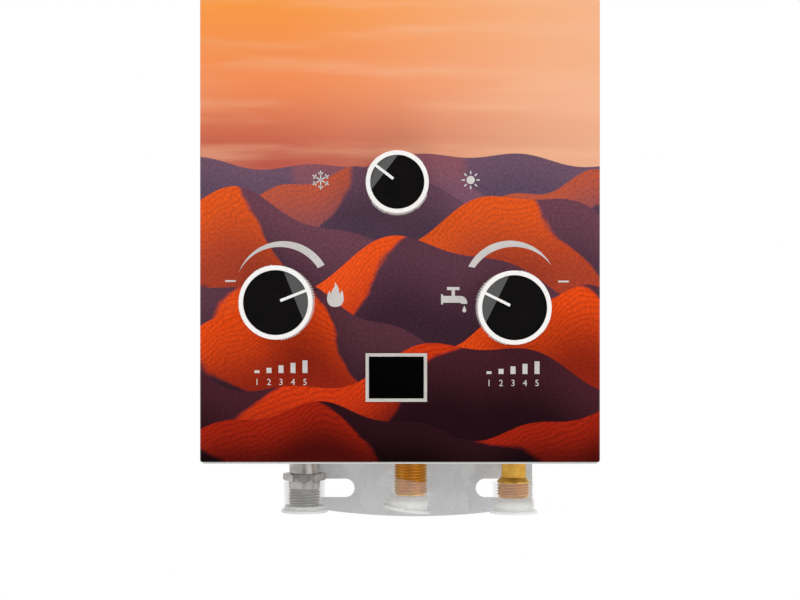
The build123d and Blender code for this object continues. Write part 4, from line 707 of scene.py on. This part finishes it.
mesh = bmesh.new()
profile = [(0, hem["high"]), (0, hem["low"] + 0.4), (0.12, hem["low"] + 0.12), (0.4, hem["low"]), (0.6, hem["low"]),
           (0.88, hem["low"] + 0.12), (1, hem["low"] + 0.4), (1, hem["high"])]
corners = [(-1, hem["back"], 0), (-1, hem["front"], 1), (1, hem["front"], 1), (1, hem["back"], 0)]
rings = []
for side, y, turned in corners:
    rings.append([mesh.verts.new((side * (hem["halfWidth"] - depth * hem["wall"]) * mm,
                                  (y + turned * depth * hem["wall"]) * mm, z * mm)) for depth, z in profile])
for first, second in zip(rings, rings[1:]):
    for i in range(len(profile)):
        mesh.faces.new((first[i - 1], first[i], second[i], second[i - 1]))
mesh.faces.new(rings[0])
mesh.faces.new(rings[-1])
makePiece("casing_hem", mesh, powderCoat, "heater")
print("casing hem")


# a profile turned round an axis: points are (radius, height) in mm, placed by a matrix
def turnedProfile(mesh, points, placed, segments=48, closed=False):
    loops = [[mesh.verts.new(placed @ Vector((r * math.cos(wholeTurn * i / segments) * mm,
                                              r * math.sin(wholeTurn * i / segments) * mm, h * mm)))
              for i in range(segments)] for r, h in points]
    for lower, upper in zip(loops, loops[1:] + (loops[:1] if closed else [])):
        for i in range(segments):
            mesh.faces.new((lower[i - 1], lower[i], upper[i], upper[i - 1]))
    if not closed:
        mesh.faces.new(loops[0])
        mesh.faces.new(loops[-1])


# pan-head tapping screws with a cross recess, two in each side and four in the collar's flange (mm)
screws = dict(headRadius=3.4, headHeight=1.8, headEdge=0.35, domeSteps=6, roundness=0.55, shankRadius=1.75,
              shankLength=7.0, threadDepth=0.35, threadStep=0.6, point=1.2, armLength=1.9, armWidth=0.9, recess=1.15,
              recessTaper=0.45, sideX=119.0, sideY=-8.2, sideHeights=(45.6, 334.4), collarTop=380.0,
              collarMid=-54.1, collarReach=35.0)

mesh = bmesh.new()
steps = [math.pi / 2 * i / screws["domeSteps"] for i in range(screws["domeSteps"])]
dome = [(screws["headRadius"] * math.cos(step) ** screws["roundness"],
         screws["headEdge"] + (screws["headHeight"] - screws["headEdge"]) * math.sin(step)) for step in steps]
shank = [(screws["shankRadius"] - screws["threadDepth"] * (i % 2),
          -screws["shankLength"] + screws["point"] + screws["threadStep"] * i) for i in range(9)]
turnedProfile(mesh, [(0.3, -screws["shankLength"])] + shank
              + [(screws["shankRadius"], -0.1), (screws["shankRadius"], 0), (screws["headRadius"], 0)]
              + dome + [(0.4, screws["headHeight"])], Matrix())
plain = bpy.data.meshes.new("screw")
mesh.to_mesh(plain)
mesh.free()
cutter = bmesh.new()
for turn in (0, math.pi / 2):
    made = bmesh.ops.create_cube(cutter, size=1)
    for vert in made["verts"]:
        taper = 1 if vert.co.z > 0 else screws["recessTaper"]
        place = Vector((vert.co.x * 2 * screws["armLength"] * taper, vert.co.y * screws["armWidth"] * taper,
                        screws["headHeight"] + (0.4 if vert.co.z > 0 else -screws["recess"])))
        vert.co = Matrix.Rotation(turn, 4, "Z") @ place * mm
cross = bpy.data.meshes.new("cross")
cutter.to_mesh(cross)
cutter.free()
blank, tool = bpy.data.objects.new("blank", plain), bpy.data.objects.new("tool", cross)
for piece in (blank, tool):
    bpy.context.collection.objects.link(piece)
cut = blank.modifiers.new("recess", "BOOLEAN")
cut.operation, cut.object, cut.solver, cut.use_self = "DIFFERENCE", tool, "EXACT", True
screwMesh = bpy.data.meshes.new_from_object(blank.evaluated_get(bpy.context.evaluated_depsgraph_get()))
for piece in (blank, tool):
    bpy.data.objects.remove(piece)
places = [Matrix.Translation((side * screws["sideX"] * mm, screws["sideY"] * mm, z * mm))
          @ Matrix.Rotation(side * math.pi / 2, 4, "Y") @ Matrix.Rotation(0.5 + z, 4, "Z")
          for side in (-1, 1) for z in screws["sideHeights"]]
places += [Matrix.Translation((x * screws["collarReach"] * mm, (screws["collarMid"] + y * screws["collarReach"]) * mm,
                               screws["collarTop"] * mm)) @ Matrix.Rotation(x + 2 * y, 4, "Z")
           for x in (-1, 1) for y in (-1, 1)]
mesh = bmesh.new()
for placed in places:
    before = len(mesh.verts)
    mesh.from_mesh(screwMesh)
    mesh.verts.ensure_lookup_table()
    bmesh.ops.transform(mesh, matrix=placed, verts=mesh.verts[before:])
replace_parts(makePiece("pan_head_screws", mesh, screwZinc, "heater"), "sheet_screws")
print("screws")

# pressed louvre hoods over the air slots (mm)
louvres = dict(count=7, pitch=8.0, midHeight=235.6, midY=-54.1, length=50.0, rise=3.6, lip=-1.4, bulge=2.3,
               sheet=0.6, sideX=119.0, lengthSteps=24, riseSteps=6, endRise=2.2, endRound=0.7)

mesh = bmesh.new()
for side in (-1, 1):
    for number in range(louvres["count"]):
        z = louvres["midHeight"] + (number - (louvres["count"] - 1) / 2) * louvres["pitch"]
        skins = []
        for inset in (0, louvres["sheet"]):
            grid = []
            for i in range(louvres["lengthSteps"] + 1):
                u = i / louvres["lengthSteps"]
                along = min(1, math.sin(math.pi * u) * louvres["endRise"]) ** louvres["endRound"]
                line = []
                for j in range(louvres["riseSteps"] + 1):
                    v = j / louvres["riseSteps"]
                    out = louvres["bulge"] * along * math.sin(v * math.pi / 2) - inset * min(1, 3 * v)
                    line.append(mesh.verts.new((side * (louvres["sideX"] + max(out, -0.2)) * mm,
                                                (louvres["midY"] + (u - 0.5) * louvres["length"]) * mm,
                                                (z + louvres["rise"] + (louvres["lip"] - louvres["rise"]) * v) * mm)))
                grid.append(line)
            skins.append(grid)
        for grid in skins:
            for i in range(louvres["lengthSteps"]):
                for j in range(louvres["riseSteps"]):
                    mesh.faces.new((grid[i][j], grid[i + 1][j], grid[i + 1][j + 1], grid[i][j + 1]))
        for i in range(louvres["lengthSteps"]):
            for j in (0, louvres["riseSteps"]):
                mesh.faces.new((skins[0][i][j], skins[0][i + 1][j], skins[1][i + 1][j], skins[1][i][j]))
makePiece("louvre_hoods", mesh, powderCoat, "heater", 50)
print("louvre hoods")

# flue collar: stop bead above the flange, curled rim, lap seam at the back (mm)
flue = dict(centre=(0.0, -54.1), radius=45.0, bead=(383.5, 387.0), proud=1.0, rim=408.0, inner=44.2, curl=0.75,
            seamWidth=5.0, seamThick=0.5, seamFoot=381)

mesh = bmesh.new()
upright = Matrix.Translation((flue["centre"][0] * mm, flue["centre"][1] * mm, 0))
low, high = flue["bead"]
swell = [(flue["radius"] - 0.1 + (flue["proud"] + 0.1) * math.sin(math.pi * i / 8), low + (high - low) * i / 8)
         for i in range(9)]
turnedProfile(mesh, swell + [(flue["radius"] - 0.3, high), (flue["radius"] - 0.3, low)], upright, 96, True)
curl = [(flue["inner"] + 0.4 + flue["curl"] * math.cos(wholeTurn * i / 10),
         flue["rim"] - 0.55 + flue["curl"] * math.sin(wholeTurn * i / 10)) for i in range(10)]
turnedProfile(mesh, curl, upright, 96, True)
half = flue["seamWidth"] / flue["radius"] / 2
columns = []
for i in range(7):
    a = math.pi / 2 + half * (i / 3 - 1)
    thick = flue["seamThick"] if 0 < i < 6 else 0.02
    inside, outside, foot, head = flue["radius"] - 0.1, flue["radius"] + thick, flue["seamFoot"], flue["rim"] - 1
    columns.append([mesh.verts.new(upright @ Vector((r * math.cos(a) * mm, r * math.sin(a) * mm, z * mm)))
                    for r, z in ((inside, foot), (outside, foot), (outside, head), (inside, head))])
for first, second in zip(columns, columns[1:]):
    for i in range(4):
        mesh.faces.new((first[i - 1], first[i], second[i], second[i - 1]))
mesh.faces.new(columns[0])
mesh.faces.new(columns[-1])
makePiece("flue_bead_and_seam", mesh, flueZinc, "heater")
print("flue trim")

# rubber grommets where the connections pass the bottom plate: centre, radius of the pipe, height of the lips (mm)
grommets = dict(holes=[((-61.65, -28.0), 9.8), ((6.65, -62.0), 10.5), ((71.9, -50.0), 8.6)], lip=3.0, low=-0.6,
                plate=(1.0, 2.0), high=3.4)

mesh = bmesh.new()
for centre, pipe in grommets["holes"]:
    outer, (under, over) = pipe + grommets["lip"], grommets["plate"]
    ring = [(pipe + 0.05, grommets["low"] + 0.5), (pipe + 0.5, grommets["low"]), (outer - 0.7, grommets["low"]),
            (outer, grommets["low"] + 0.6), (outer, under - 0.02), (pipe + 0.25, under - 0.02),
            (pipe + 0.25, over + 0.02), (outer - 0.4, over + 0.02), (outer - 0.8, grommets["high"]),
            (pipe + 0.05, grommets["high"])]
    turnedProfile(mesh, ring, Matrix.Translation((centre[0] * mm, centre[1] * mm, 0)), 64, True)
makePiece("pipe_grommets", mesh, nitrile, "heater")
print("grommets")

# finger grip on the battery lid: raised ribs near its free edge, and an arrow that shows which way it lifts (mm)
grip = dict(ribs=5, first=-81.6, step=2.2, width=1.1, left=-108.0, right=-90.4, face=1.0, proud=0.55,
            arrow=(-99.2, -66.0, 5.0), slice=((-0.5, 0), (-0.4, 0.6), (-0.15, 1), (0.15, 1), (0.4, 0.6), (0.5, 0)))

mesh = bmesh.new()
for number in range(grip["ribs"]):
    y = grip["first"] + number * grip["step"]
    ends = []
    for x, shrink in ((grip["left"], 0.3), (grip["left"] + 0.6, 1), (grip["right"] - 0.6, 1), (grip["right"], 0.3)):
        ends.append([mesh.verts.new((x * mm, (y + grip["width"] * across * shrink) * mm,
                                     (grip["face"] + 0.05 - deep * grip["proud"] * shrink) * mm))
                     for across, deep in grip["slice"]])
    for first, second in zip(ends, ends[1:]):
        for i in range(len(grip["slice"])):
            mesh.faces.new((first[i - 1], first[i], second[i], second[i - 1]))
    mesh.faces.new(ends[0])
    mesh.faces.new(ends[-1])
ax, ay, size = grip["arrow"]
outline = [(0, -1.2), (1, 0.2), (0.42, 0.2), (0.42, 1.3), (-0.42, 1.3), (-0.42, 0.2), (-1, 0.2)]
layers = [[mesh.verts.new(((ax + u * size * shrink) * mm, (ay + v * size * shrink) * mm, z * mm)) for u, v in outline]
          for z, shrink in ((grip["face"] + 0.05, 1), (grip["face"] - 0.25, 1), (grip["face"] - 0.35, 0.94))]
for lower, upper in zip(layers, layers[1:]):
    for i in range(len(outline)):
        mesh.faces.new((lower[i - 1], lower[i], upper[i], upper[i - 1]))
mesh.faces.new(layers[0])
mesh.faces.new(layers[-1])
makePiece("lid_grip", mesh, sparkAbs, "lid")
print("lid grip")

# spot welds of the inner brackets, seen on the back (mm)
welds = dict(places=[(x, z) for x in (-60.2, 60.2) for z in (224.0, 298.0)]
             + [(x, z) for x in (-104, -52, 0, 52, 104) for z in (12.0, 368.0)], radius=2.4, proud=0.25)

mesh = bmesh.new()
for x, z in welds["places"]:
    face = Matrix.Translation((x * mm, 0, z * mm)) @ Matrix.Rotation(-math.pi / 2, 4, "X")
    r, h = welds["radius"], welds["proud"]
    turnedProfile(mesh, [(r + 0.5, -0.05), (r + 0.35, 0.4 * h), (r, h), (r - 0.5, 0.35 * h), (0.2, 0.2 * h)], face, 32)
makePiece("spot_welds", mesh, flueZinc, "heater")
print("spot welds")
